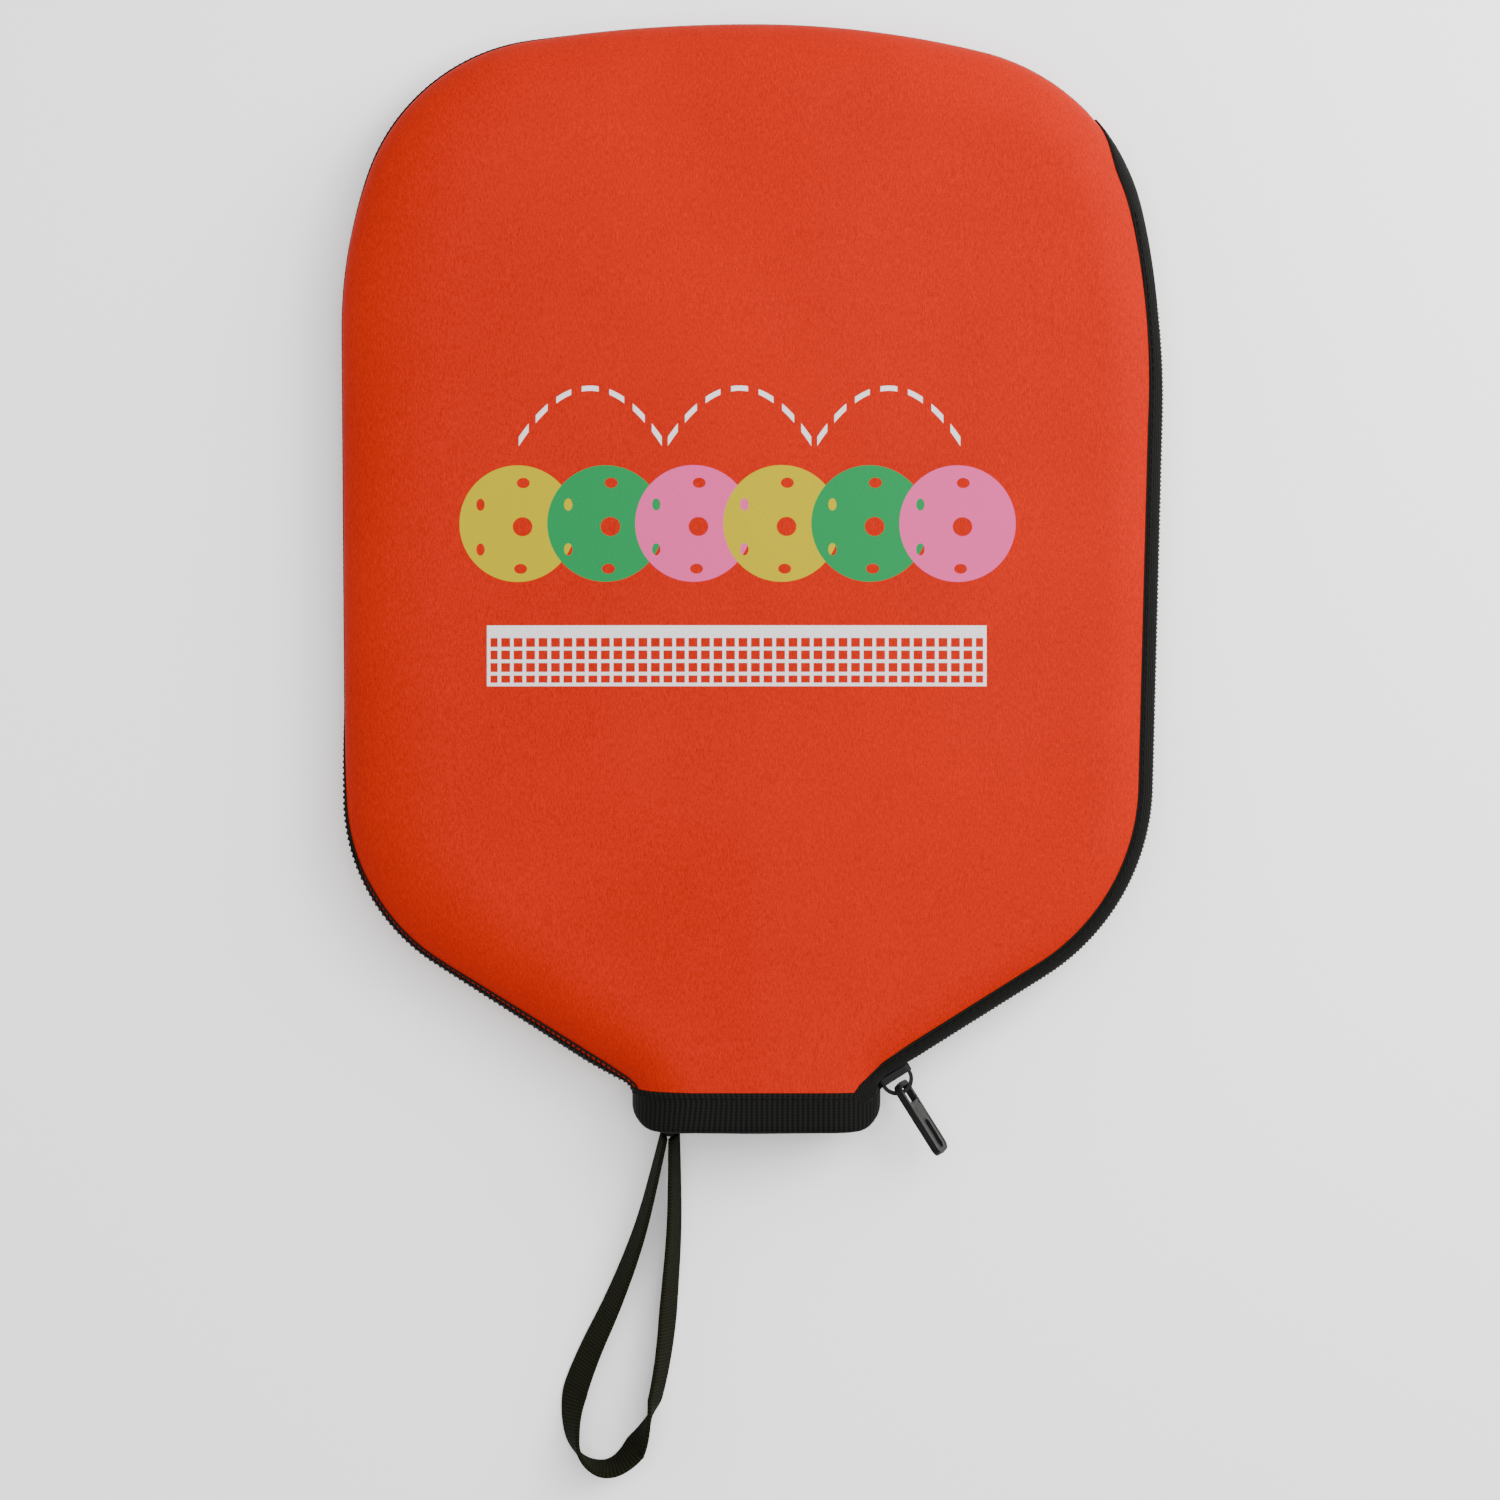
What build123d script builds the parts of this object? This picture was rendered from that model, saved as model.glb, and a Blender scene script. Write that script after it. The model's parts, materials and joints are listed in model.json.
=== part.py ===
"""Padded neoprene cover for a court paddle, lying on its back.

The cover is a flat pocket with an open neck. Each panel is three bonded layers.
The left edge is a sewn seam and the right edge is a zip whose coil lies at mid
height. A slider with a pull tab closes the zip at the neck, and a webbing wrist
strap leaves the mouth. X runs across the cover, Y towards its top and Z up out of
its front. While it is built, Y is measured from the mouth and Z from mid height.
"""
import math
import os

from build123d import *

# Outline of the cover, seen from the front: each side starts at the top of the
# centre line and is a chain of tangent legs, as (radius, sweep in degrees) for an
# arc and (None, length) for a straight run. A negative sweep bends the other way.
COVER_TOP = 295.0
LEFT_SIDE = [(394.0, 8.7), (54.0, 61.6), (122.0, 20.1), (None, 124.8), (52.0, 56.8),
             (None, 59.9), (6.0, -57.2), (None, 38.0)]
RIGHT_SIDE = [(257.0, 13.8), (58.0, 62.0), (204.0, 15.7), (None, 98.5), (62.0, 56.4),
              (None, 49.4), (6.0, -57.9), (None, 42.0)]

# Thickness of the cover and of the layers of each panel
COVER_DEPTH = 26.0
EDGE_RADIUS = 11.0
FACE_FABRIC = 0.4
FOAM = 2.2
LINING = 0.4
PANEL = FACE_FABRIC + FOAM + LINING
HALF_DEPTH = COVER_DEPTH / 2

# Zip along the right edge, as heights above and below mid height
COIL_SLOT = 0.6
COIL_HEIGHT = 2.2
COIL_DEPTHS = (0.6, 2.6)
TAPE_HEIGHT = 6.0
TAPE_DEPTHS = (1.2, 1.9)
BINDING_HEIGHT = 9.95
BINDING_PROUD = 0.6
BINDING_STITCH_HEIGHTS = (8.3, 8.7)
STITCH_PROUD = 0.25
ZIP_TAPER_START = 217.0
ZIP_TAPER_END = 270.0
STOP_LENGTH = 1.6
STOP_HEIGHT = 2.0
STOP_DEPTHS = (0.3, 2.9)
STOP_GAP = 0.5
TOP_STOP_START = 250.0

# Sewn seam along the left and top edges
SEAM_PROUD = 0.5
SEAM_HEIGHT = 1.5

# Band sewn round the mouth
NECK_BAND_WIDTH = 10.5
NECK_STITCH_OFFSETS = (9.2, 9.6)
NECK_SLIT = 0.5

# Slider, in its own frame: X along the zip, -Y outwards, Z up
SLIDER_LENGTH = 9.6
SLIDER_HEIGHT = 7.6
SLIDER_NOSE_PAST_COIL = 3.4
OUTER_PLATE = (-1.2, 0.3)
INNER_PLATE = (3.0, 4.0)
SLIDER_CORNER = 1.4
FLANGE = 1.1
OUTER_FLANGE_DEPTH = 0.8
INNER_FLANGE_DEPTH = 2.3
POST_THICKNESS = 0.6
POST_LENGTH = 2.2
POST_INSET = 0.4
CROWN_HALF_LENGTH = 4.4
CROWN_RISE = 4.7
CROWN_BAR = 1.0
CROWN_WIDTH = 2.0
PIVOT_OUT = 3.6
LOCK_SPRING = (5.0, 0.3, 1.4)

# Pull tab, flat in its own frame: X along the tab from the pivot, Z across it
PULL_LENGTH = 21.0
PULL_WIDTH = 8.0
PULL_THICKNESS = 1.8
PULL_LEG = 1.3
PULL_BAR_RADIUS = 0.7
PULL_WINDOW = 5.4
PULL_SLOT = (8.6, 2.6)
PULL_SLOT_CENTRE = 15.4
PULL_RECESS = 0.35
PULL_RIM = 1.2
PULL_TILT = 15.0
PULL_CORNER = 2.2
PULL_INNER_CORNER = 1.2
PULL_ISLAND_RIM = 0.7
PULL_ISLAND_CORNER = 1.7

# Wrist strap: webbing standing on its edge, as the centre line of the loop
STRAP_WIDTH = 10.0
STRAP_THICKNESS = 1.3
STRAP_ROUTE = [(-23.2, 0.6), (-26.0, -11.5), (-30.2, -28.0), (-37.0, -46.0), (-44.5, -61.5),
               (-49.3, -75.0), (-48.0, -88.0), (-39.5, -93.0), (-31.5, -87.5), (-26.6, -75.5),
               (-23.6, -60.0), (-22.2, -43.0), (-21.0, -27.0), (-20.9, -12.5), (-21.0, 0.6)]
STRAP_EDGE_HEIGHT = 4.8
STRAP_BEND_SHARE = 0.45
STRAP_ROOT_CENTRE = (-22.1, 0.6)
STRAP_ROOT_RADIUS = 1.9
ROOT_CLEARANCE = 0.08
ANCHOR_SIZE = (8.0, 8.4)
ANCHOR_CENTRE_Y = 5.6
ANCHOR_RELIEF = 1.3
ANCHOR_RISE = 1.0

# Reach of cutting blocks: well past the cover, and a little past a face
BEYOND = 200.0
OVERLAP = 1.0


def side_edges(legs, inset, mirror):
    """Edges of one side of the outline, moved inwards by the inset."""
    sign = -1 if mirror else 1
    point = Vector(0, COVER_TOP - inset)
    heading = 0.0 if mirror else 180.0
    edges = []
    for radius, amount in legs:
        tangent = (math.cos(math.radians(heading)), math.sin(math.radians(heading)))
        if radius is None:
            edge = Line(point, point + Vector(*tangent) * amount)
        else:
            offset_radius = radius - math.copysign(1, amount) * inset
            edge = JernArc(start=point, tangent=tangent, radius=offset_radius,
                           arc_size=sign * amount)
            heading += sign * amount
        edges.append(edge)
        point = edge @ 1
    return edges


def outline(inset):
    """The cover's outline as a face, run on past the mouth."""
    left = side_edges(LEFT_SIDE, inset, mirror=False)
    right = side_edges(RIGHT_SIDE, inset, mirror=True)
    foot = Line(left[-1] @ 1, right[-1] @ 1)
    return make_face(Wire(left + right + [foot]))


def pillow(inset):
    """Front half of the cover's puffed body, shrunk on all sides by the inset."""
    body = extrude(outline(inset), HALF_DEPTH - inset)
    top_edges = body.edges().group_by(Axis.Z)[-1].sort_by(Axis.Y)[1:]
    return fillet(top_edges, EDGE_RADIUS - inset)


def block(x_range, y_range, z_range):
    """A box from its limits."""
    size = [high - low for low, high in (x_range, y_range, z_range)]
    middle = [(low + high) / 2 for low, high in (x_range, y_range, z_range)]
    return Pos(*middle) * Box(*size)


def zip_zone(height):
    """The space beside the right edge up to a height, running out at the top corner."""
    profile = Plane.YZ * Polygon((-BEYOND, -OVERLAP), (-BEYOND, height),
                                 (ZIP_TAPER_START, height), (ZIP_TAPER_END, 0),
                                 (ZIP_TAPER_END, -OVERLAP), align=None)
    return extrude(profile, BEYOND, dir=(1, 0, 0))


def above_band():
    """Everything past the band at the mouth."""
    return block((-BEYOND, BEYOND), (NECK_BAND_WIDTH, 2 * BEYOND), (-BEYOND, BEYOND))


def other_half(shape):
    """The same piece on the back half of the cover."""
    return mirror(shape, about=Plane.XY)


def panel_layer(outer, inner):
    """One bonded layer of the front panel, between two insets."""
    return (pillow(outer) - pillow(inner) - zip_zone(BINDING_HEIGHT)) & above_band()


def zip_strip(depths, low, high):
    """A strip along the zip, between two insets and two heights."""
    shell = pillow(depths[0]) - pillow(depths[1])
    return (shell & (zip_zone(high) - zip_zone(low))) & above_band()


def above_floor():
    """Everything above the flat back that the cover lies on."""
    return block((-BEYOND, BEYOND), (-BEYOND, 2 * BEYOND), (-HALF_DEPTH, BEYOND))


def coil_zone():
    """The side of the last tooth above the neck on which the zip runs."""
    return zip_place(0.0) * block((0, 2 * BEYOND), (-2 * BEYOND, 2 * BEYOND), (-BEYOND, BEYOND))


def zip_tape():
    """Front tape of the zip, closed over the coil's end past the top stop."""
    past_stop = block((0, BEYOND), (TOP_STOP_START + STOP_LENGTH, ZIP_TAPER_END), (0, BEYOND))
    closed_end = zip_strip(TAPE_DEPTHS, 0.0, COIL_HEIGHT) & past_stop
    open_run = zip_strip(TAPE_DEPTHS, COIL_HEIGHT, TAPE_HEIGHT) & coil_zone()
    return open_run + closed_end - top_stop()


def zip_coil():
    """Front coil of the zip, between its two stops."""
    below_stop = block((0, BEYOND), (0, TOP_STOP_START), (-BEYOND, BEYOND))
    return zip_strip(COIL_DEPTHS, COIL_SLOT, COIL_HEIGHT) & coil_zone() & below_stop


def zip_place(along):
    """Place on the outer surface of the straight run above the neck."""
    straight = side_edges(RIGHT_SIDE, 0.0, mirror=True)[5]
    low_end = straight @ 1
    direction = (straight @ 0 - low_end).normalized()
    return Plane(origin=low_end + direction * along, x_dir=direction, z_dir=(0, 0, 1)).location


def seam():
    """Thread of the edge seam, from the neck round the left and top to the zip."""
    shell = pillow(-SEAM_PROUD) - pillow(0.0)
    low = shell & block((-BEYOND, BEYOND), (-BEYOND, 2 * BEYOND), (0, SEAM_HEIGHT))
    right = block((0, BEYOND), (-BEYOND, ZIP_TAPER_END), (-OVERLAP, SEAM_HEIGHT + OVERLAP))
    return both_halves((low - right) & above_band())


def neck_band():
    """Front half of the band round the mouth, slit where the zip ends."""
    shell = pillow(-BINDING_PROUD) - pillow(PANEL)
    slit = block((0, BEYOND), (-BEYOND, BEYOND), (-OVERLAP, NECK_SLIT))
    return (shell - slit) & block((-BEYOND, BEYOND), (0, NECK_BAND_WIDTH), (-OVERLAP, BEYOND))


def ridge(zone):
    """A line of thread lying proud on a binding."""
    shell = pillow(-BINDING_PROUD - STITCH_PROUD) - pillow(-BINDING_PROUD)
    return shell & zone


def neck_stitching():
    """Line of thread round the upper edge of the band, front half."""
    return ridge(block((-BEYOND, BEYOND), NECK_STITCH_OFFSETS, (NECK_SLIT, BEYOND)))


def both_halves(half):
    """A piece that crosses mid height."""
    return half + other_half(half)


def end_stop():
    """Sewn tape end between the slider's nose and the band at the mouth."""
    shell = pillow(STOP_DEPTHS[0]) - pillow(STOP_DEPTHS[1])
    nose = zip_place(-SLIDER_NOSE_PAST_COIL - STOP_GAP)
    past_nose = nose * block((-BEYOND, 0), (-BEYOND, BEYOND), (-BEYOND, BEYOND))
    return both_halves(shell & zip_zone(TAPE_HEIGHT) & past_nose & above_band())


def top_stop():
    """Clamp on the coils where the zip runs out at the top corner."""
    shell = pillow(STOP_DEPTHS[0]) - pillow(STOP_DEPTHS[1])
    span = block((0, BEYOND), (TOP_STOP_START, TOP_STOP_START + STOP_LENGTH), (0, STOP_HEIGHT))
    return both_halves(shell & span)


def slider_body():
    """Two flanged plates joined by the post that parts the coils."""
    half_length = SLIDER_LENGTH / 2
    half_height = SLIDER_HEIGHT / 2
    plan = Plane.XZ * RectangleRounded(SLIDER_LENGTH, SLIDER_HEIGHT, SLIDER_CORNER)
    channel = block((-SLIDER_LENGTH, SLIDER_LENGTH), (OUTER_PLATE[1], INNER_PLATE[0]),
                    (-half_height + FLANGE, half_height - FLANGE))
    gap = block((-SLIDER_LENGTH, SLIDER_LENGTH), (OUTER_FLANGE_DEPTH, INNER_FLANGE_DEPTH),
                (-SLIDER_HEIGHT, SLIDER_HEIGHT))
    whole = extrude(plan, INNER_PLATE[1] - OUTER_PLATE[0], dir=(0, 1, 0))
    post = block((-half_length + POST_INSET, -half_length + POST_INSET + POST_LENGTH),
                 (OUTER_PLATE[1], INNER_PLATE[0]), (-POST_THICKNESS / 2, POST_THICKNESS / 2))
    return Pos(0, OUTER_PLATE[0], 0) * whole - channel - gap + post


def slider_crown():
    """D-shaped bridge on the outer plate that carries the pull tab."""
    foot = OUTER_PLATE[0]
    inside = CROWN_HALF_LENGTH - CROWN_BAR
    arches = []
    for half_length, rise in ((CROWN_HALF_LENGTH, CROWN_RISE), (inside, CROWN_RISE - CROWN_BAR)):
        arch = ThreePointArc((-half_length, foot), (0, foot - rise), (half_length, foot))
        arches.append(make_face(Wire([arch, Line(arch @ 1, arch @ 0)])))
    return Pos(0, 0, -CROWN_WIDTH / 2) * extrude(arches[0] - arches[1], CROWN_WIDTH)


def lock_spring():
    """Leaf under the crown that locks the slider when the tab is let go."""
    length, thickness, width = LOCK_SPRING
    return Pos(0, OUTER_PLATE[0] - thickness / 2, 0) * Box(length, thickness, width)


def pull_frame():
    """Metal frame of the pull tab: window at the head, slot at the far end."""
    plate = block((-PULL_BAR_RADIUS, PULL_LENGTH), (-PULL_THICKNESS / 2, PULL_THICKNESS / 2),
                  (-PULL_WIDTH / 2, PULL_WIDTH / 2))
    plate = fillet(plate.edges().filter_by(Axis.Y), PULL_CORNER)
    half_opening = PULL_WIDTH / 2 - PULL_LEG
    window = block((PULL_BAR_RADIUS, PULL_WINDOW), (-PULL_WIDTH, PULL_WIDTH),
                   (-half_opening, half_opening))
    slot_length, slot_width = PULL_SLOT
    slot = block((PULL_SLOT_CENTRE - slot_length / 2, PULL_SLOT_CENTRE + slot_length / 2),
                 (-PULL_WIDTH, PULL_WIDTH), (-slot_width / 2, slot_width / 2))
    slot = fillet(slot.edges().filter_by(Axis.Y), PULL_INNER_CORNER)
    frame = plate - window - slot
    for depth in recess_depths():
        frame -= Pos(0, depth, 0) * face_recess()
    return frame


def recess_depths():
    """Mid depths of the two shallow recesses in the faces of the pull tab."""
    depth = PULL_THICKNESS / 2 - PULL_RECESS / 2
    return -depth, depth


def face_recess():
    """Outline of the recessed face of the pull tab, round the slot."""
    start = PULL_WINDOW + PULL_RIM
    outer = block((start, PULL_LENGTH - PULL_RIM), (-PULL_RECESS / 2, PULL_RECESS / 2),
                  (-PULL_WIDTH / 2 + PULL_RIM, PULL_WIDTH / 2 - PULL_RIM))
    outer = fillet(outer.edges().filter_by(Axis.Y), PULL_INNER_CORNER)
    slot_length, slot_width = PULL_SLOT
    reach = slot_length / 2 + PULL_ISLAND_RIM
    half_width = slot_width / 2 + PULL_ISLAND_RIM
    island = block((PULL_SLOT_CENTRE - reach, PULL_SLOT_CENTRE + reach), (-OVERLAP, OVERLAP),
                   (-half_width, half_width))
    return outer - fillet(island.edges().filter_by(Axis.Y), PULL_ISLAND_CORNER)


def pull_inlay(side):
    """Satin inlay that fills one recess."""
    return Pos(0, recess_depths()[side], 0) * face_recess()


def strap_line():
    """Centre line of the strap: straight runs joined by the largest arcs that fit."""
    points = [Vector(*point) for point in STRAP_ROUTE]
    radii = []
    for before, at, after in zip(points, points[1:], points[2:]):
        run = min((at - before).length, (after - at).length)
        turn = math.radians((at - before).get_angle(after - at))
        radii.append(STRAP_BEND_SHARE * run / math.tan(turn / 2))
    print("strap bend radii, mm:", [round(radius, 1) for radius in radii])
    return FilletPolyline(*points, radius=radii)


def wrist_strap():
    """Webbing loop on its edge, both ends at the sewn root."""
    line = strap_line()
    print("strap length, mm:", round(line.length, 1))
    start = line @ 0
    section = Plane(origin=start, x_dir=(0, 0, 1), z_dir=line % 0) * Rectangle(
        STRAP_WIDTH, STRAP_THICKNESS)
    strap = sweep(section, path=line, transition=Transition.RIGHT)
    print("strap volume over section by length:",
          round(strap.volume / (STRAP_WIDTH * STRAP_THICKNESS * line.length), 4))
    return Pos(0, 0, STRAP_EDGE_HEIGHT + STRAP_WIDTH / 2 - HALF_DEPTH) * strap - strap_root()


def strap_root():
    """Stitched roll that joins the two ends of the strap inside the mouth."""
    low = STRAP_EDGE_HEIGHT - HALF_DEPTH
    x, y = STRAP_ROOT_CENTRE
    return Pos(x, y, low + STRAP_WIDTH / 2) * Cylinder(STRAP_ROOT_RADIUS, STRAP_WIDTH)


def strap_anchor():
    """Folded tab on the back lining that holds the root of the strap.

    Its mouth side is cut back so that the strap can swing.
    """
    low = PANEL - HALF_DEPTH
    x, y = STRAP_ROOT_CENTRE
    width, length = ANCHOR_SIZE
    tab = block((x - width / 2, x + width / 2),
                (ANCHOR_CENTRE_Y - length / 2, ANCHOR_CENTRE_Y + length / 2),
                (low, low + STRAP_WIDTH + ANCHOR_RISE))
    seat = Pos(x, y, 0) * Cylinder(STRAP_ROOT_RADIUS + ROOT_CLEARANCE, 3 * STRAP_WIDTH)
    mouth_side = block((x - width, x + width), (-BEYOND, y + ANCHOR_RELIEF), (-BEYOND, BEYOND))
    return (tab - seat - mouth_side) & both_halves(pillow(PANEL))


def build_cover():
    """Every node of the cover's own body."""
    insets = (0.0, FACE_FABRIC, FACE_FABRIC + FOAM, PANEL)
    nodes = {}
    for name, outer, inner in zip(("face", "foam", "lining"), insets, insets[1:]):
        layer = panel_layer(outer, inner)
        nodes["front_panel_" + name] = layer
        nodes["back_panel_" + name] = other_half(layer)
    binding = zip_strip((-BINDING_PROUD, PANEL), TAPE_HEIGHT, BINDING_HEIGHT)
    low, high = BINDING_STITCH_HEIGHTS
    stitching = ridge(zip_zone(high) - zip_zone(low)) & above_band()
    pairs = {"zip_binding": binding, "zip_tape": zip_tape(), "zip_coil": zip_coil(),
             "binding_stitching": stitching, "neck_band": neck_band(),
             "neck_stitching": neck_stitching()}
    for name, shape in pairs.items():
        nodes["front_" + name] = shape
        nodes["back_" + name] = other_half(shape) & above_floor()
    nodes["edge_seam"] = seam()
    nodes["zip_top_stop"] = top_stop()
    nodes["zip_end_stop"] = end_stop()
    nodes["strap_anchor"] = strap_anchor()
    return nodes


def build_slider():
    """Nodes of the slider, at rest against the end of the zip."""
    place = zip_place(SLIDER_LENGTH / 2 - SLIDER_NOSE_PAST_COIL)
    return {"slider_body": place * slider_body(), "slider_crown": place * slider_crown(),
            "slider_lock_spring": place * lock_spring()}


def pull_place():
    """Place of the pull tab: its bar on the pivot, its length pointing outwards."""
    slider = zip_place(SLIDER_LENGTH / 2 - SLIDER_NOSE_PAST_COIL)
    return slider * Pos(0, -PIVOT_OUT, 0) * Rot(0, 0, -90) * Rot(PULL_TILT, 0, 0)


def build_pull():
    """Nodes of the pull tab."""
    place = pull_place()
    return {"pull_frame": place * pull_frame(), "pull_inlay_front": place * pull_inlay(0),
            "pull_inlay_back": place * pull_inlay(1)}


def build_strap():
    """Nodes of the wrist strap."""
    return {"wrist_strap": wrist_strap(), "strap_root": strap_root()}


def main():
    os.makedirs("parts", exist_ok=True)
    solids = {**build_cover(), **build_slider(), **build_pull()}
    whole = Compound([solid for shape in solids.values() for solid in shape.solids()])
    box = whole.bounding_box()
    solids.update(build_strap())
    shift = Pos(-box.center().X, -box.center().Y, -box.min.Z)
    for name, shape in solids.items():
        export_step(shift * Compound(shape.solids()), f"parts/{name}.step")
    slider = shift * zip_place(SLIDER_LENGTH / 2 - SLIDER_NOSE_PAST_COIL)
    travel = Plane(slider).x_dir
    pivot = Plane(shift * pull_place())
    root = shift * Pos(*STRAP_ROOT_CENTRE, STRAP_EDGE_HEIGHT + STRAP_WIDTH / 2 - HALF_DEPTH)
    print("shift", shift.position, "slider", slider.position, "travel", travel)
    print("pull pivot", pivot.origin, "axis", pivot.z_dir)
    print("strap root", root.position)


main()
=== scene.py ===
"""Soft pieces, thread, zip and finishes of a padded paddle cover, built around its frame."""

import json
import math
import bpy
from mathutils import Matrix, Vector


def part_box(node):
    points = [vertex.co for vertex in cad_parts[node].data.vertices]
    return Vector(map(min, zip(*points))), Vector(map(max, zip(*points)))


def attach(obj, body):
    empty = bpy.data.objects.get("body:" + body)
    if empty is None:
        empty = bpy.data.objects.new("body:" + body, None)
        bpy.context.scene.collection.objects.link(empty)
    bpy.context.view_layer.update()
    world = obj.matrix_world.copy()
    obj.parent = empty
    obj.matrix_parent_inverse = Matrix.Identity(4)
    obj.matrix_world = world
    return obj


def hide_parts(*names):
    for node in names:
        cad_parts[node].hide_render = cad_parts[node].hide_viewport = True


bl_info = {
    "name": "Paddle Cover",
    "version": (1, 0, 0),
    "blender": (4, 5, 0),
    "location": "3D View > Sidebar > Paddle Cover",
    "description": "Builds the fabric, zip and strap of a padded paddle cover around its frame",
    "category": "Object",
}

import bmesh
import bpy
import numpy as np
from bpy.props import FloatProperty, FloatVectorProperty, PointerProperty
from bpy.types import Operator, Panel, PropertyGroup
from mathutils import Matrix, Vector

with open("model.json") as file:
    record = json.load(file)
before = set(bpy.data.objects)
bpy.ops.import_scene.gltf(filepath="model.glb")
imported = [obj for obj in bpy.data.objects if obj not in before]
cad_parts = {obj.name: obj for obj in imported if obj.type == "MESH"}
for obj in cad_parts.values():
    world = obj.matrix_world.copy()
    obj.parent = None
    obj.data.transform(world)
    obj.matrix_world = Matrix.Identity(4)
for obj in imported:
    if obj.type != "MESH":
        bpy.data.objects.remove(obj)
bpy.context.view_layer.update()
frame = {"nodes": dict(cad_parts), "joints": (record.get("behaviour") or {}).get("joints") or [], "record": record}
MM = 0.001

# Outline of the cover, as in the frame: from the top of the centre line down each
# side, (radius, sweep in degrees) for an arc and (None, length) for a straight run.
COVER_TOP = 295.0
LEFT_SIDE = ((394.0, 8.7), (54.0, 61.6), (122.0, 20.1), (None, 124.8), (52.0, 56.8),
             (None, 59.9), (6.0, -57.2), (None, 38.0))
RIGHT_SIDE = ((257.0, 13.8), (58.0, 62.0), (204.0, 15.7), (None, 98.5), (62.0, 56.4),
              (None, 49.4), (6.0, -57.9), (None, 42.0))
OUTLINE_STEP = 0.25

# Centre line of the wrist strap, as in the frame, measured from the mouth
STRAP_ROUTE = ((-23.2, 0.6), (-26.0, -11.5), (-30.2, -28.0), (-37.0, -46.0), (-44.5, -61.5),
               (-49.3, -75.0), (-48.0, -88.0), (-39.5, -93.0), (-31.5, -87.5), (-26.6, -75.5),
               (-23.6, -60.0), (-22.2, -43.0), (-21.0, -27.0), (-20.9, -12.5), (-21.0, 0.6))

LEFT, RIGHT = 0, 1
FRONT, BACK = 1.0, -1.0

PANEL_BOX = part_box("front_panel_face")
MOUTH_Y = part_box("front_neck_band")[0].y
MID_Z = PANEL_BOX[0].z


class CoverSizes(PropertyGroup):
    """Sizes of the soft pieces, in the frame's own units."""

    panel: FloatProperty(name="Panel", description="Thickness of face fabric and foam together",
                         default=2.6 * MM, unit="LENGTH")
    lining: FloatProperty(name="Lining", description="Thickness of the lining",
                          default=0.35 * MM, unit="LENGTH")
    crown: FloatProperty(name="Crown", description="How far the front rises towards its middle",
                         default=1.7 * MM, unit="LENGTH")
    band: FloatProperty(name="Neck band", description="Width of the band round the mouth",
                        default=12.0 * MM, unit="LENGTH")
    binding: FloatProperty(name="Zip binding", description="How far the zip binding reaches in",
                           default=5.6 * MM, unit="LENGTH")
    stitch: FloatProperty(name="Seam stitch", description="Pitch of the stitches in the edge seam",
                          default=1.57 * MM, unit="LENGTH")
    coil_pitch: FloatProperty(name="Coil pitch", description="Pitch of the zip's coil",
                              default=1.15 * MM, unit="LENGTH")
    strap_width: FloatProperty(name="Strap width", description="Width of the webbing",
                               default=10.0 * MM, unit="LENGTH")
    strap_thickness: FloatProperty(name="Strap thickness", description="Thickness of the webbing",
                                   default=1.3 * MM, unit="LENGTH")


def colour_property(name, description, default):
    """A colour that a user can change."""
    return FloatVectorProperty(name=name, description=description, default=default,
                               subtype="COLOR", size=3, min=0.0, max=1.0)


class CoverColours(PropertyGroup):
    """Colours of the cover, as linear values."""

    knit: colour_property("Knit", "Face fabric", (0.335, 0.0074, 0.0))
    trim: colour_property("Trim", "Bands, bindings and thread", (0.0045, 0.0045, 0.0040))
    webbing: colour_property("Webbing", "Wrist strap", (0.0060, 0.0062, 0.0030))
    lining: colour_property("Lining", "Inside of the pocket", (0.012, 0.012, 0.012))
    enamel: colour_property("Enamel", "Slider and the rim of its tab", (0.006, 0.006, 0.006))
    inlay: colour_property("Inlay", "Face of the pull tab", (0.016, 0.016, 0.014))
    ink: colour_property("White ink", "Net and flight path", (0.62, 0.59, 0.61))
    lemon: colour_property("Lemon ink", "First and fourth ball", (0.33, 0.265, 0.0))
    mint: colour_property("Mint ink", "Second and fifth ball", (0.004, 0.165, 0.045))
    rose: colour_property("Rose ink", "Third and sixth ball", (0.50, 0.055, 0.19))


# ---------------------------------------------------------------- the cover's surface


def unit(vectors):
    """Vectors divided by their own lengths."""
    return vectors / np.linalg.norm(vectors, axis=-1, keepdims=True)


def run_length(points):
    """Length along a row of points, from 0 at the first one."""
    step = np.linalg.norm(np.diff(points, axis=0), axis=1)
    return np.concatenate([[0.0], np.cumsum(step)])


def along_line(at, length, values):
    """Values of a row of points, taken in a straight line between them at some lengths."""
    return np.stack([np.interp(at, length, column) for column in values.T], axis=-1)


def side_line(legs, mirrored):
    """Points along one side, from the top down.

    A straight run is start + distance * direction. An arc turns the direction
    steadily about a centre that lies one radius to the side of the start.
    """
    sign = -1.0 if mirrored else 1.0
    point = np.array([0.0, COVER_TOP])
    heading = 0.0 if mirrored else math.pi
    pieces = []
    for radius, amount in legs:
        if radius is None:
            distance = np.arange(0.0, amount, OUTLINE_STEP)[:, None]
            direction = np.array([math.cos(heading), math.sin(heading)])
            pieces.append(point + distance * direction)
            point = point + amount * direction
            continue
        sweep = sign * math.radians(amount)
        turn = math.copysign(1.0, sweep)
        centre = point + turn * radius * np.array([-math.sin(heading), math.cos(heading)])
        angle = heading + sweep * np.arange(0.0, 1.0, OUTLINE_STEP / (radius * abs(sweep)))
        ring = np.stack([np.sin(angle), -np.cos(angle)], axis=1)
        pieces.append(centre + turn * radius * ring)
        heading += sweep
        point = centre + turn * radius * np.array([math.sin(heading), -math.cos(heading)])
    return np.concatenate(pieces)


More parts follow.
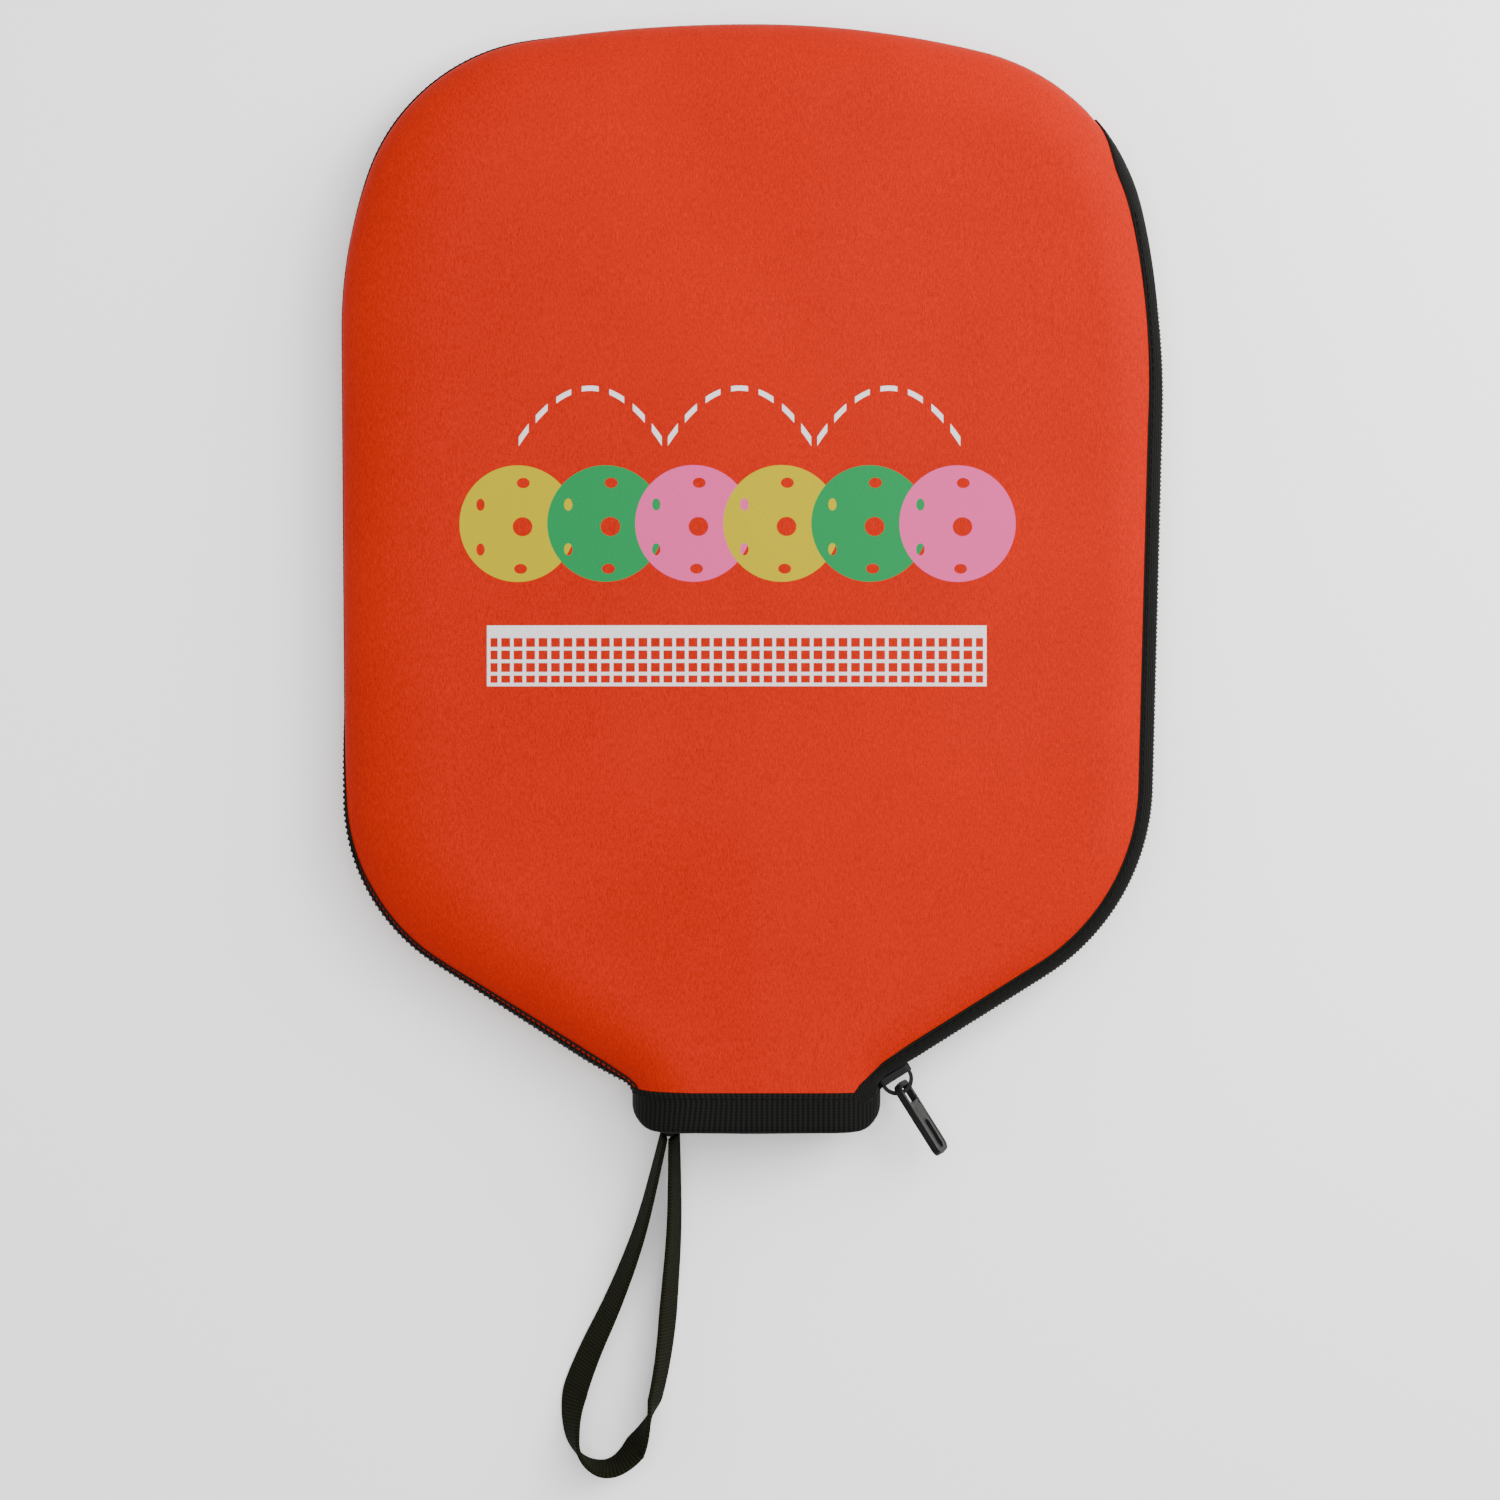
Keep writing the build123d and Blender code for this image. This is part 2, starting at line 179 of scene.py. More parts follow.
def rim_line(side):
    """One side from the mouth (0) to the top (1): its points, inward normals and lengths.

    At the top, where the two sides meet, both normals point straight down.
    """
    points = side_line(RIGHT_SIDE if side == RIGHT else LEFT_SIDE, side == RIGHT)[::-1]
    points = points[points[:, 1] >= 0.0]
    step = unit(np.gradient(points, axis=0))
    inward = np.stack([step[:, 1], -step[:, 0]], axis=1) * (1.0 if side == LEFT else -1.0)
    inward[-1] = (0.0, -1.0)
    return points, inward, run_length(points)


RIMS = {side: rim_line(side) for side in (LEFT, RIGHT)}
SHIFT_X = PANEL_BOX[0].x - RIMS[LEFT][0][:, 0].min() * MM

# How far the rounding of the edge reaches in, in mm, against the way from mouth to top
ROUNDING = {LEFT: ((0.0, 0.07, 0.22, 0.75, 1.0), (16.0, 20.0, 29.0, 29.0, 23.0)),
            RIGHT: ((0.0, 0.07, 0.22, 0.75, 1.0), (15.0, 15.0, 16.0, 17.0, 23.0))}
SPINE_END = 185.0
PANEL_START = 3.0
LEAST_CELL = 1e-9
EDGE_HEIGHT = {FRONT: 11.2, BACK: 12.1}
CROWN_START = 24.0
CROWN_REACH = 62.0
MOUTH_CORNER = 6.5
MOUTH_EASE = 20.0
SWELLS = ((0.22, 31.0, 47.0), (0.14, 17.0, 23.0))
PUCKER = 0.10
PUCKER_PITCH = 8.5
PUCKER_FADE = 5.0
RIM_STRIDE = 24
COLUMN_SPREAD = (0.55, 0.45)


def rim_at(side, way):
    """Point and inward normal of the rim at a part of the way from mouth to top."""
    points, inward, length = RIMS[side]
    at = way * length[-1]
    return along_line(at, length, points), unit(along_line(at, length, inward))


def way_at_height(side, height):
    """Part of the way from mouth to top at which a side is that far above the mouth."""
    points, _, length = RIMS[side]
    return np.interp(height, points[:, 1], length / length[-1])


def rounding_at(side, way):
    """Reach of the edge's rounding, in mm."""
    return np.interp(way, *ROUNDING[side])


def across_for_inset(side, way, inset):
    """The across value at which the surface lies that far inside the rim, in mm."""
    return np.arccos(1.0 - inset / rounding_at(side, way)) / (math.pi / 2)


def across_for_rise(half, rise):
    """The across value at which the edge is that far above or below mid height, in mm."""
    return math.asin(rise / EDGE_HEIGHT[half]) / (math.pi / 2)


def spine_height(way):
    """Height above the mouth of the fold-free middle line that belongs to a way."""
    heights = []
    for side in (LEFT, RIGHT):
        xy, normal = rim_at(side, way)
        heights.append(xy[..., 1] + normal[..., 1] * rounding_at(side, way))
    return np.minimum((heights[0] + heights[1]) / 2, SPINE_END)


def cover_surface(side, way, across, half):
    """Points of the padded cover.

    Across 0 to 1 is a quarter of an ellipse: inset = reach * (1 - cos) and rise =
    height * sin. Across 1 to 2 runs straight to the middle line, and on the front
    the rise grows by a smooth step of the distance from the rim. Near the mouth the
    edge is drawn up in a circle, which rounds the mouth's corners. Below across 0
    the surface turns under on to the other half.
    """
    way, across = np.broadcast_arrays(way, across)
    xy, normal = rim_at(side, way)
    return raised(side, way, across, half, xy, normal, spine_height(way))


def level_surface(side, height, across, half):
    """The cover's surface beside the mouth, with its rows kept level with the mouth."""
    height, across = np.broadcast_arrays(height, across)
    way = way_at_height(side, height)
    xy, _ = rim_at(side, way)
    normal = np.zeros_like(xy)
    normal[..., 0] = 1.0 if side == LEFT else -1.0
    return raised(side, way, across, half, xy, normal, height)


def raised(side, way, across, half, xy, normal, middle_height):
    """Points of the surface that starts at rim points and runs in along their normals."""
    reach = rounding_at(side, way)
    angle = np.clip(across, -1.0, 1.0) * math.pi / 2
    inset = reach * (1.0 - np.cos(angle))
    height = np.where(across < 0.0, EDGE_HEIGHT[-half], EDGE_HEIGHT[half])
    rise = height * np.sin(angle)
    flat = np.clip(across - 1.0, 0.0, 1.0)[..., None]
    middle = np.stack([np.zeros_like(way), middle_height], axis=-1)
    plan = (xy + normal * inset[..., None]) * (1.0 - flat) + middle * flat
    corner = np.clip(MOUTH_CORNER - inset, 0.0, MOUTH_CORNER)
    drawn = MOUTH_CORNER - np.sqrt(MOUTH_CORNER**2 - corner**2)
    ease = np.clip(1.0 - plan[..., 1] / MOUTH_EASE, 0.0, 1.0) ** 1.5
    plan[..., 1] += drawn * ease
    if half == FRONT:
        rise = rise + front_loft(plan, inset, np.clip(across, 0.0, 1.0), way)
    return np.stack([plan[..., 0] * MM + SHIFT_X, plan[..., 1] * MM + MOUTH_Y,
                     MID_Z + half * rise * MM], axis=-1)


def rim_distance(plan):
    """Distance of plan points from the nearest point of either side, in mm."""
    rim = np.concatenate([RIMS[side][0][::RIM_STRIDE] for side in (LEFT, RIGHT)])
    apart = plan[..., None, :] - rim
    return np.hypot(apart[..., 0], apart[..., 1]).min(axis=-1)


def front_loft(plan, inset, share, way):
    """Crown, slow swells and the puckers that the seam pulls into the front, in mm."""
    sizes = bpy.context.scene.cover_sizes
    step = np.clip((rim_distance(plan) - CROWN_START) / CROWN_REACH, 0.0, 1.0)
    loft = sizes.crown / MM * step * step * (3.0 - 2.0 * step)
    for amount, across_length, along_length in SWELLS:
        wave = np.sin(plan[..., 0] / across_length + 1.0) * np.sin(plan[..., 1] / along_length)
        loft = loft + amount * wave * share**2
    along = way * RIMS[LEFT][2][-1]
    pucker = np.sin(along * 2 * math.pi / PUCKER_PITCH) * np.exp(-inset / PUCKER_FADE)
    return loft + PUCKER * pucker * share


def surface_normals(points, half):
    """Outward normals of a grid of points, from the cross product of its two directions."""
    normal = np.cross(np.gradient(points, axis=1), np.gradient(points, axis=0))
    length = np.linalg.norm(normal, axis=-1, keepdims=True)
    up = np.broadcast_to([0.0, 0.0, half], points.shape)
    outward = math.copysign(1.0, normal[..., 2].sum() * half)
    return np.where(length > LEAST_CELL, normal / np.maximum(length, LEAST_CELL) * outward, up)


def panel_normals(points, half):
    """Outward normals of a panel, the same on both sides of the line where its top row folds."""
    normal = surface_normals(points, half)
    normal[-1] = unit(normal[-1] + normal[-1, ::-1])
    return normal


def strip_surface(side, ways, acrosses, half):
    """Points and outward normals of a strip of the cover on one side.

    The ways run along it and each row of acrosses runs over its width.
    """
    points = cover_surface(side, ways[:, None], acrosses, half)
    normal = unit(np.cross(np.gradient(points, axis=0), np.gradient(points, axis=1)))
    middle = len(ways) // 2
    inward = rim_at(side, ways)[1][middle]
    return points, normal if normal[middle, 0, :2] @ inward < 0 else -normal


def panel_grid(half, edges, rows, columns):
    """The whole width of one panel as a grid from its left edge to its right edge.

    Edges gives each side's first across value along the way. Columns crowd towards
    both edges, where the surface turns over.
    """
    way = np.linspace(way_at_height(LEFT, PANEL_START), 1.0, rows)
    share = np.linspace(0.0, 1.0, columns)
    share = share * (COLUMN_SPREAD[0] + COLUMN_SPREAD[1] * share)
    sides = []
    for side in (LEFT, RIGHT):
        first = edges[side](way)[:, None]
        sides.append(cover_surface(side, way[:, None], first + (2.0 - first) * share, half))
    return np.concatenate([sides[LEFT], sides[RIGHT][:, -2::-1]], axis=1)


# ---------------------------------------------------------------- meshes from arrays


def add_mesh(name, points, faces, uv=None, weld=False):
    """A smooth mesh object from arrays; uv is one pair for each point."""
    mesh = bpy.data.meshes.new(name)
    mesh.from_pydata(points.reshape(-1, 3).tolist(), [], faces)
    if uv is not None:
        layer = mesh.uv_layers.new(name="along_across")
        corners = np.empty(len(mesh.loops), dtype=np.int32)
        mesh.loops.foreach_get("vertex_index", corners)
        layer.data.foreach_set("uv", uv.reshape(-1, 2)[corners].ravel().astype(np.float32))
    if weld:
        shape = bmesh.new()
        shape.from_mesh(mesh)
        bmesh.ops.remove_doubles(shape, verts=shape.verts, dist=0.004 * MM)
        bmesh.ops.dissolve_degenerate(shape, edges=shape.edges, dist=0.001 * MM)
        bmesh.ops.recalc_face_normals(shape, faces=shape.faces)
        shape.to_mesh(mesh)
        shape.free()
    mesh.shade_smooth()
    piece = bpy.data.objects.new(name, mesh)
    bpy.context.collection.objects.link(piece)
    return piece


def grid_quads(rows, columns, start=0):
    """Corner numbers of the quads of a grid whose points are numbered row by row."""
    first = start + np.arange(rows - 1)[:, None] * columns + np.arange(columns - 1)
    quads = np.stack([first, first + 1, first + columns + 1, first + columns], axis=-1)
    return quads.reshape(-1, 4)


def shell(name, points, normals, outer, inner):
    """A closed shell between two offsets of a grid.

    Both offset grids are joined by a wall along the mouth and both side edges. The
    top row lies on itself and is welded shut.
    """
    rows, columns = points.shape[:2]
    skins = np.stack([points + normals * outer, points + normals * inner])
    count = rows * columns
    number = np.arange(count).reshape(rows, columns)
    quads = [grid_quads(rows, columns), grid_quads(rows, columns, count)[:, ::-1]]
    for line in (number[0], number[:, 0], number[:, -1]):
        wall = np.stack([line[:-1], line[1:], line[1:] + count, line[:-1] + count], axis=1)
        quads.append(wall)
    return add_mesh(name, skins, np.concatenate(quads).tolist(), weld=True)


def tube(name, rings, uv=None):
    """A closed tube through rings of points, with flat ends."""
    count, around = rings.shape[:2]
    first = np.arange(count - 1)[:, None] * around + np.arange(around)
    beside = np.arange(count - 1)[:, None] * around + (np.arange(around) + 1) % around
    quads = np.stack([first, beside, beside + around, first + around], axis=-1).reshape(-1, 4)
    last = (count - 1) * around
    ends = [list(range(around))[::-1], list(range(last, last + around))]
    return add_mesh(name, rings, quads.tolist() + ends, uv=uv, weld=uv is None)


def belt(name, points, normals, rise, sink, rounding=6):
    """A flat band that lies on a surface, as a closed tube with rounded edges.

    Its outer side stands off by rise * (1 - |2v - 1| ^ rounding) ^ (1/2) over its
    width v, and its inner side is sunk by a steady amount.
    """
    width = points.shape[1]
    v = np.linspace(0.0, 1.0, width)
    lift = np.sqrt(np.clip(1.0 - np.abs(2 * v - 1) ** rounding, 0.0, 1.0))
    outer = points + normals * (-sink + (rise + sink) * lift)[None, :, None]
    inner = (points - normals * (sink + 0.02 * MM))[:, ::-1]
    rings = np.concatenate([outer, inner], axis=1)
    along = run_length(points[:, width // 2])
    breadth = np.linalg.norm(points[:, -1] - points[:, 0], axis=-1)
    share = np.concatenate([v, v[::-1]])
    uv = np.stack(np.broadcast_arrays(along[:, None], breadth[:, None] * share), axis=-1)
    piece = tube(name, rings, uv=uv)
    close_normals(piece)
    return piece


def close_normals(piece):
    """Turns every face of a closed mesh outwards."""
    shape = bmesh.new()
    shape.from_mesh(piece.data)
    bmesh.ops.recalc_face_normals(shape, faces=shape.faces)
    shape.to_mesh(piece.data)
    shape.free()


THREAD_TAPER = 0.55


def threads(name, paths, normals, radius, sides=6):
    """Many short threads as one mesh.

    Each path is a row of points; a ring of points at the radius stands square to it,
    set out from the given normals, and each end is closed.
    """
    count, steps = paths.shape[:2]
    along = unit(np.gradient(paths, axis=1))
    beside = unit(np.cross(along, normals))
    over = np.cross(beside, along)
    angle = np.arange(sides) * 2 * math.pi / sides
    ring = (np.cos(angle)[:, None] * over[:, :, None] + np.sin(angle)[:, None] * beside[:, :, None])
    taper = np.ones(steps)
    taper[[0, -1]] = THREAD_TAPER
    points = paths[:, :, None] + ring * (radius * taper)[None, :, None, None]
    first = np.arange(sides)
    after = (first + 1) % sides
    step = np.arange(steps - 1)[:, None] * sides
    quad = np.stack([first + step, after + step, after + step + sides, first + step + sides],
                    axis=-1).reshape(-1, 4)
    start = np.arange(count)[:, None, None] * steps * sides
    quads = (quad[None] + start).reshape(-1, 4)
    low = (first[::-1][None] + start[:, 0]).tolist()
    high = (first[None] + (steps - 1) * sides + start[:, 0]).tolist()
    piece = add_mesh(name, points, quads.tolist() + low + high)
    close_normals(piece)
    return piece


# ---------------------------------------------------------------- finishes


class Flow:
    """A number on its way between nodes. Sums on it add Math nodes."""

    def __init__(self, finish, socket):
        self.finish = finish
        self.socket = socket

    def math(self, operation, *others, clamp=False):
        node = self.finish.node("ShaderNodeMath", {"operation": operation, "use_clamp": clamp},
                                dict(enumerate((self, *others))))
        return Flow(self.finish, node.outputs[0])

    def __add__(self, other):
        return self.math("ADD", other)

    def __sub__(self, other):
        return self.math("SUBTRACT", other)

    def __mul__(self, other):
        return self.math("MULTIPLY", other)

    def __truediv__(self, other):
        return self.math("DIVIDE", other)

    def __rsub__(self, other):
        return (self * -1.0) + other

    __radd__ = __add__
    __rmul__ = __mul__

    def below(self, limit, soft):
        """1 where the number is under the limit and 0 over it, with a soft step."""
        return ((self * -1.0 + limit) / soft + 0.5).math("ADD", 0.0, clamp=True)

    def above(self, limit, soft):
        """1 where the number is over the limit and 0 under it, with a soft step."""
        return ((self - limit) / soft + 0.5).math("ADD", 0.0, clamp=True)


class Finish:
    """One material and its node tree."""

    def __init__(self, name, constants):
        self.material = bpy.data.materials.new(name)
        self.material.use_nodes = True
        self.tree = self.material.node_tree
        self.shader = self.tree.nodes["Principled BSDF"]
        for socket, value in constants.items():
            self.shader.inputs[socket].default_value = value

    def node(self, kind, settings=None, inputs=None):
        """Adds a node, with its settings first and then its sockets' values or links."""
        node = self.tree.nodes.new(kind)
        for key, value in (settings or {}).items():
            setattr(node, key, value)
        for key, value in (inputs or {}).items():
            if isinstance(value, Flow):
                value = value.socket
            if isinstance(value, bpy.types.NodeSocket):
                self.tree.links.new(value, node.inputs[key])
            else:
                node.inputs[key].default_value = value
        return node

    def place(self):
        """The three object coordinates."""
        coordinates = self.node("ShaderNodeTexCoord").outputs["Object"]
        split = self.node("ShaderNodeSeparateXYZ", None, {0: coordinates})
        return [Flow(self, socket) for socket in split.outputs]

    def along_across(self):
        """The piece's own lengthwise and crosswise measures, in metres."""
        uv = self.node("ShaderNodeUVMap", {"uv_map": "along_across"}).outputs["UV"]
        split = self.node("ShaderNodeSeparateXYZ", None, {0: uv})
        return Flow(self, split.outputs[0]), Flow(self, split.outputs[1])

    def noise(self, scales, detail=2.0, roughness=0.5):
        """Noise over object coordinates stretched by three scales."""
        coordinates = self.node("ShaderNodeTexCoord").outputs["Object"]
        stretched = self.node("ShaderNodeVectorMath", {"operation": "MULTIPLY"},
                              {0: coordinates, 1: scales})
        node = self.node("ShaderNodeTexNoise", None,
                         {"Vector": stretched.outputs[0], "Scale": 1.0, "Detail": detail,
                          "Roughness": roughness})
        return Flow(self, node.outputs[0])

    def blend(self, factor, low, high):
        """A colour between two colours."""
        node = self.node("ShaderNodeMix", {"data_type": "RGBA", "blend_type": "MIX"},
                         {0: factor, 6: low, 7: high})
        return node.outputs[2]

    def base(self, colour):
        self.tree.links.new(colour, self.shader.inputs["Base Color"])

    def rough(self, value):
        self.tree.links.new(value.socket, self.shader.inputs["Roughness"])

    def bump(self, height, distance, strength=1.0):
        """Bumps of a height that runs from 0 to 1 over a distance."""
        node = self.node("ShaderNodeBump", None,
                         {"Height": height, "Distance": distance, "Strength": strength})
        self.tree.links.new(node.outputs[0], self.shader.inputs["Normal"])


def rgba(colour, factor=1.0):
    """A colour property as four numbers, made lighter or darker by a factor."""
    return (*(min(1.0, channel * factor) for channel in colour), 1.0)


BALL_RADIUS = 15.35 * MM
BALL_PITCH = 23.17 * MM
BALL_FIRST_X = -61.9 * MM
BALL_Y = 161.2 * MM
# Holes of a ball: place from its centre and half widths, in mm
BALL_HOLES = ((1.3, -0.8, 2.6, 2.5), (1.5, 10.7, 1.7, 1.35), (-9.8, 5.0, 1.1, 1.6),
              (-9.8, -6.8, 1.1, 1.6), (0.8, -11.9, 1.7, 1.3))
INK_EDGE = 0.12 * MM
NET_LEFT, NET_RIGHT = -70.0 * MM, 61.6 * MM
NET_TOP, NET_BOTTOM = 134.4 * MM, 118.4 * MM
NET_MESH = 3.29 * MM
NET_ROWS = 4
NET_CORD = 0.9 * MM
PATH_BASE, PATH_RISE = 181.6 * MM, 15.2 * MM
PATH_LEFT, PATH_RIGHT = -62.4 * MM, 55.5 * MM
PATH_HOPS = 3
PATH_LINE = 1.35 * MM
DASHES = 7
DASH_SHARE = 0.3


def ink_balls(finish, x, y, fabric, colours):
    """Six overlapping perforated balls, each one printed over the one before it.

    A ball's holes show what lies under it.
    """
    paint = fabric
    for index in range(6):
        across = x - (BALL_FIRST_X + index * BALL_PITCH)
        disc = (across * across + y * y).math("SQRT").below(BALL_RADIUS, INK_EDGE)
        for hole_x, hole_y, half_width, half_height in BALL_HOLES:
            beside = (across - hole_x * MM) / (half_width * MM)
            above = (y - hole_y * MM) / (half_height * MM)
            disc = disc * (beside * beside + above * above).above(1.0, 0.15)
        paint = finish.blend(disc, paint, rgba(colours[index % 3]))
    return paint


def net_mask(x, y):
    """A net band: solid tape above, square mesh below it and a cord along the foot."""
    inside = x.above(NET_LEFT, INK_EDGE) * x.below(NET_RIGHT, INK_EDGE)
    inside = inside * y.above(NET_BOTTOM, INK_EDGE) * y.below(NET_TOP, INK_EDGE)
    tape = y.above(NET_BOTTOM + NET_ROWS * NET_MESH, INK_EDGE)
    foot = y.below(NET_BOTTOM + NET_CORD, INK_EDGE)
    posts = (x - (NET_LEFT + NET_RIGHT) / 2).math("ABSOLUTE").above(
        (NET_RIGHT - NET_LEFT) / 2 - NET_CORD, INK_EDGE)
    half = NET_MESH / 2
    upright = ((x - NET_LEFT).math("PINGPONG", half)).below(NET_CORD / 2, INK_EDGE)
    level = ((y - NET_BOTTOM).math("PINGPONG", half)).below(NET_CORD / 2, INK_EDGE)
    mesh = upright.math("MAXIMUM", level).math("MAXIMUM", posts)
    return inside * mesh.math("MAXIMUM", tape).math("MAXIMUM", foot)


def flight_mask(x, y):
    """The dashed path of a bouncing ball: equal hops, each a parabola.

    The dashes are even along the parabola, whose length from its crest is
    (t * s + ln(k * t + s) / k) / 2 for t across the hop, k = 8 * rise / hop and
    s = sqrt(1 + (k * t)^2).
    """
    hop = (PATH_RIGHT - PATH_LEFT) / PATH_HOPS
    bend = 8.0 * PATH_RISE / hop
    across = ((x - PATH_LEFT) / hop).math("FRACT") - 0.5
    slope = across * bend
    steepness = (slope * slope + 1.0).math("SQRT")
    height = (1.0 - across * across * 4.0) * PATH_RISE + PATH_BASE
    line = ((y - height).math("ABSOLUTE") / steepness).below(PATH_LINE / 2, INK_EDGE)
    travelled = across * steepness + (slope + steepness).math("LOGARITHM", math.e) / bend
    steepest = math.hypot(1.0, bend / 2)
    whole_hop = steepest + 2.0 * math.asinh(bend / 2) / bend
    dashes = (travelled * (DASHES / whole_hop) + 0.5).math("FRACT") - 0.5
    ends = x.above(PATH_LEFT, INK_EDGE) * x.below(PATH_RIGHT, INK_EDGE)
    return line * dashes.math("ABSOLUTE").below(DASH_SHARE, 0.03) * ends


def knit_finish(colours, printed):
    """Face fabric: fine upright knit, soft colour changes and a dry sheen."""
    finish = Finish("knit_printed" if printed else "knit_plain",
                    {"Sheen Weight": 0.03, "Sheen Roughness": 0.45,
                     "Sheen Tint": (1.0, 0.3, 0.1, 1.0), "Specular IOR Level": 0.06})
    wale = finish.noise((3400.0, 800.0, 2400.0), 1.0, 0.5)
    speck = finish.noise((2800.0, 2400.0, 2800.0), 1.0)
    cloud = finish.noise((26.0, 22.0, 26.0), 2.0)
    grain = wale * 0.6 + speck * 0.4
    tone = (grain - 0.5) * 1.9 + (cloud - 0.5) * 0.35 + 0.5
    fabric = finish.blend(tone.math("ADD", 0.0, clamp=True), rgba(colours.knit, 0.70),
                          rgba(colours.knit, 1.28))
    if printed:
        x, y, _ = finish.place()
        x = x - SHIFT_X
        y = y - MOUTH_Y
        inks = (colours.lemon, colours.mint, colours.rose)
        fabric = ink_balls(finish, x, y - BALL_Y, fabric, inks)
        ink = net_mask(x, y).math("MAXIMUM", flight_mask(x, y))
        worn = ink * (grain * 0.5 + 0.70).math("MINIMUM", 1.0)
        fabric = finish.blend(worn, fabric, rgba(colours.ink))
    finish.base(fabric)
    finish.rough(grain * 0.2 + 0.60)
    finish.bump(grain, 0.10 * MM, 0.7)
    return finish.material


def rib_finish(name, colour, pitch, depth, crosswise, roughness=0.72, sheen=0.03):
    """Woven tape: ribs at a steady pitch over its length or width, with loose fibres. Its colour is painted shade
    in the rib grooves and painted highlight on the rib crests, with the fibres' own tone.
    """
    finish = Finish(name, {"Sheen Weight": sheen, "Sheen Roughness": 0.4,
                           "Specular IOR Level": 0.03})
    along, across = finish.along_across()
    lengthwise = along if crosswise else across
    other = across if crosswise else along
    rib = (lengthwise * (2 * math.pi / pitch)).math("SINE") * 0.5 + 0.5
    yarn = (other * (2 * math.pi / (pitch * 0.6))).math("SINE") * 0.5 + 0.5
    fibre = finish.noise((1400.0, 1400.0, 1400.0), 2.0)
    height = rib * 0.62 + yarn * 0.2 + fibre * 0.18
    # Colour follows the rib height: painted shade in the grooves and painted highlight on the crests; the fibre
    # noise is the tape's own tone.
    finish.base(finish.blend(height, rgba(colour, 0.3), rgba(colour, 2.0)))
    finish.rough(fibre * 0.2 + (roughness - 0.1))
    finish.bump(height, depth)
    return finish.material


def grained_finish(name, constants, scales, detail, colour, tones, rough, depth):
    """A plain finish whose one grain sets its tone, its roughness and its bumps.

    Tones are the factors of the colour at the grain's low and high ends, and
    roughness is the first of its two values times the grain plus the second.
    """
    finish = Finish(name, constants)
    grain = finish.noise(scales, detail)
    finish.base(finish.blend(grain, rgba(colour, tones[0]), rgba(colour, tones[1])))
    finish.rough(grain * rough[0] + rough[1])
    finish.bump(grain, depth)
    return finish.material


def metal_finish(name, colour, roughness, metallic, orange_peel):
    """Enamelled or bare metal with a faint orange peel and patchy wear."""
    finish = Finish(name, {"Metallic": metallic, "Specular IOR Level": 0.5 if metallic else 0.09})
    peel = finish.noise((1300.0, 1300.0, 1300.0), 2.0)
    wear = finish.noise((420.0, 420.0, 420.0), 3.0)
    finish.base(finish.blend(wear, rgba(colour, 0.8), rgba(colour, 1.35)))
    finish.rough(wear * 0.16 + (roughness - 0.08))
    finish.bump(peel, orange_peel)
    return finish.material


FINISHES = {}
FOAM = (0.010, 0.010, 0.010)
SPRING_STEEL = (0.5, 0.5, 0.5)


def make_finishes():
    """Every material of the cover, by its slot."""
    colours = bpy.context.scene.cover_colours
    FINISHES.update({
        "knit_printed": knit_finish(colours, True),
        "knit_face": knit_finish(colours, False),
        "foam": grained_finish("foam", {"Specular IOR Level": 0.2}, (2600.0, 2600.0, 2600.0), 3.0,
                               FOAM, (1.0, 3.0), (0.1, 0.85), 0.15 * MM),
        "lining": grained_finish("lining", {"Sheen Weight": 0.25, "Specular IOR Level": 0.25},
                                 (1700.0, 900.0, 1700.0), 2.0, colours.lining, (0.6, 1.6),
                                 (0.15, 0.75), 0.08 * MM),
        "binding": rib_finish("binding", colours.trim, 0.7 * MM, 0.10 * MM, False),
        "zip_tape": rib_finish("zip_tape", colours.trim, 0.6 * MM, 0.08 * MM, False),
        "neck_band": rib_finish("neck_band", colours.trim, 1.35 * MM, 0.11 * MM, True),
        "webbing": rib_finish("webbing", colours.webbing, 0.92 * MM, 0.24 * MM, True, 0.85, 0.0),
        "thread": grained_finish("thread", {"Sheen Weight": 0.0, "Specular IOR Level": 0.05},
                                 (3800.0, 3800.0, 3800.0), 1.0, colours.trim, (0.5, 1.8),
                                 (0.2, 0.5), 0.06 * MM),
        "zip_coil": grained_finish("zip_coil", {"Specular IOR Level": 0.3},
                                   (900.0, 900.0, 2600.0), 1.0, colours.enamel, (0.8, 1.6),
                                   (0.15, 0.35), 0.03 * MM),
        "metal_black": metal_finish("slider_enamel", colours.enamel, 0.48, 0.0, 0.02 * MM),
        "metal_bright": metal_finish("spring_steel", SPRING_STEEL, 0.3, 1.0, 0.01 * MM),
        "pull_rim": metal_finish("tab_rim", colours.enamel, 0.45, 0.0, 0.02 * MM),
        "pull_face": metal_finish("tab_face", colours.inlay, 0.5, 0.0, 0.04 * MM),
        "seam_cord": rib_finish("seam_cord", colours.trim, 0.75 * MM, 0.2 * MM, True),
    })


def dress(piece, slot, body, *nodes, material=None):
    """Gives a new piece its finish, its body and the frame nodes that it stands for."""
    piece.data.materials.append(FINISHES[material or slot])
    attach(piece, body)
    if nodes:
        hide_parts(*nodes)
    return piece


# ---------------------------------------------------------------- the pieces

ZIP_TAPER_START = 217.0
ZIP_TAPER_END = 270.0
COIL_RISE = 2.0
SLIDER_CLEAR_RISE = 4.15
BINDING_SHARE = ((0.0, 0.022, 0.026, 0.030, 0.034, 0.040, 0.06, 0.55, 0.68, 1.0),
                 (1.45, 1.45, 1.25, 0.95, 0.85, 0.93, 1.0, 1.0, 0.78, 0.78))
BINDING_POINT = 16.0


def zip_taper(way):
    """1 along the zip, running out to 0 where it ends at the top corner."""
    start = way_at_height(RIGHT, ZIP_TAPER_START)
    end = way_at_height(RIGHT, ZIP_TAPER_END)
    return np.clip((end - way) / (end - start), 0.0, 1.0)


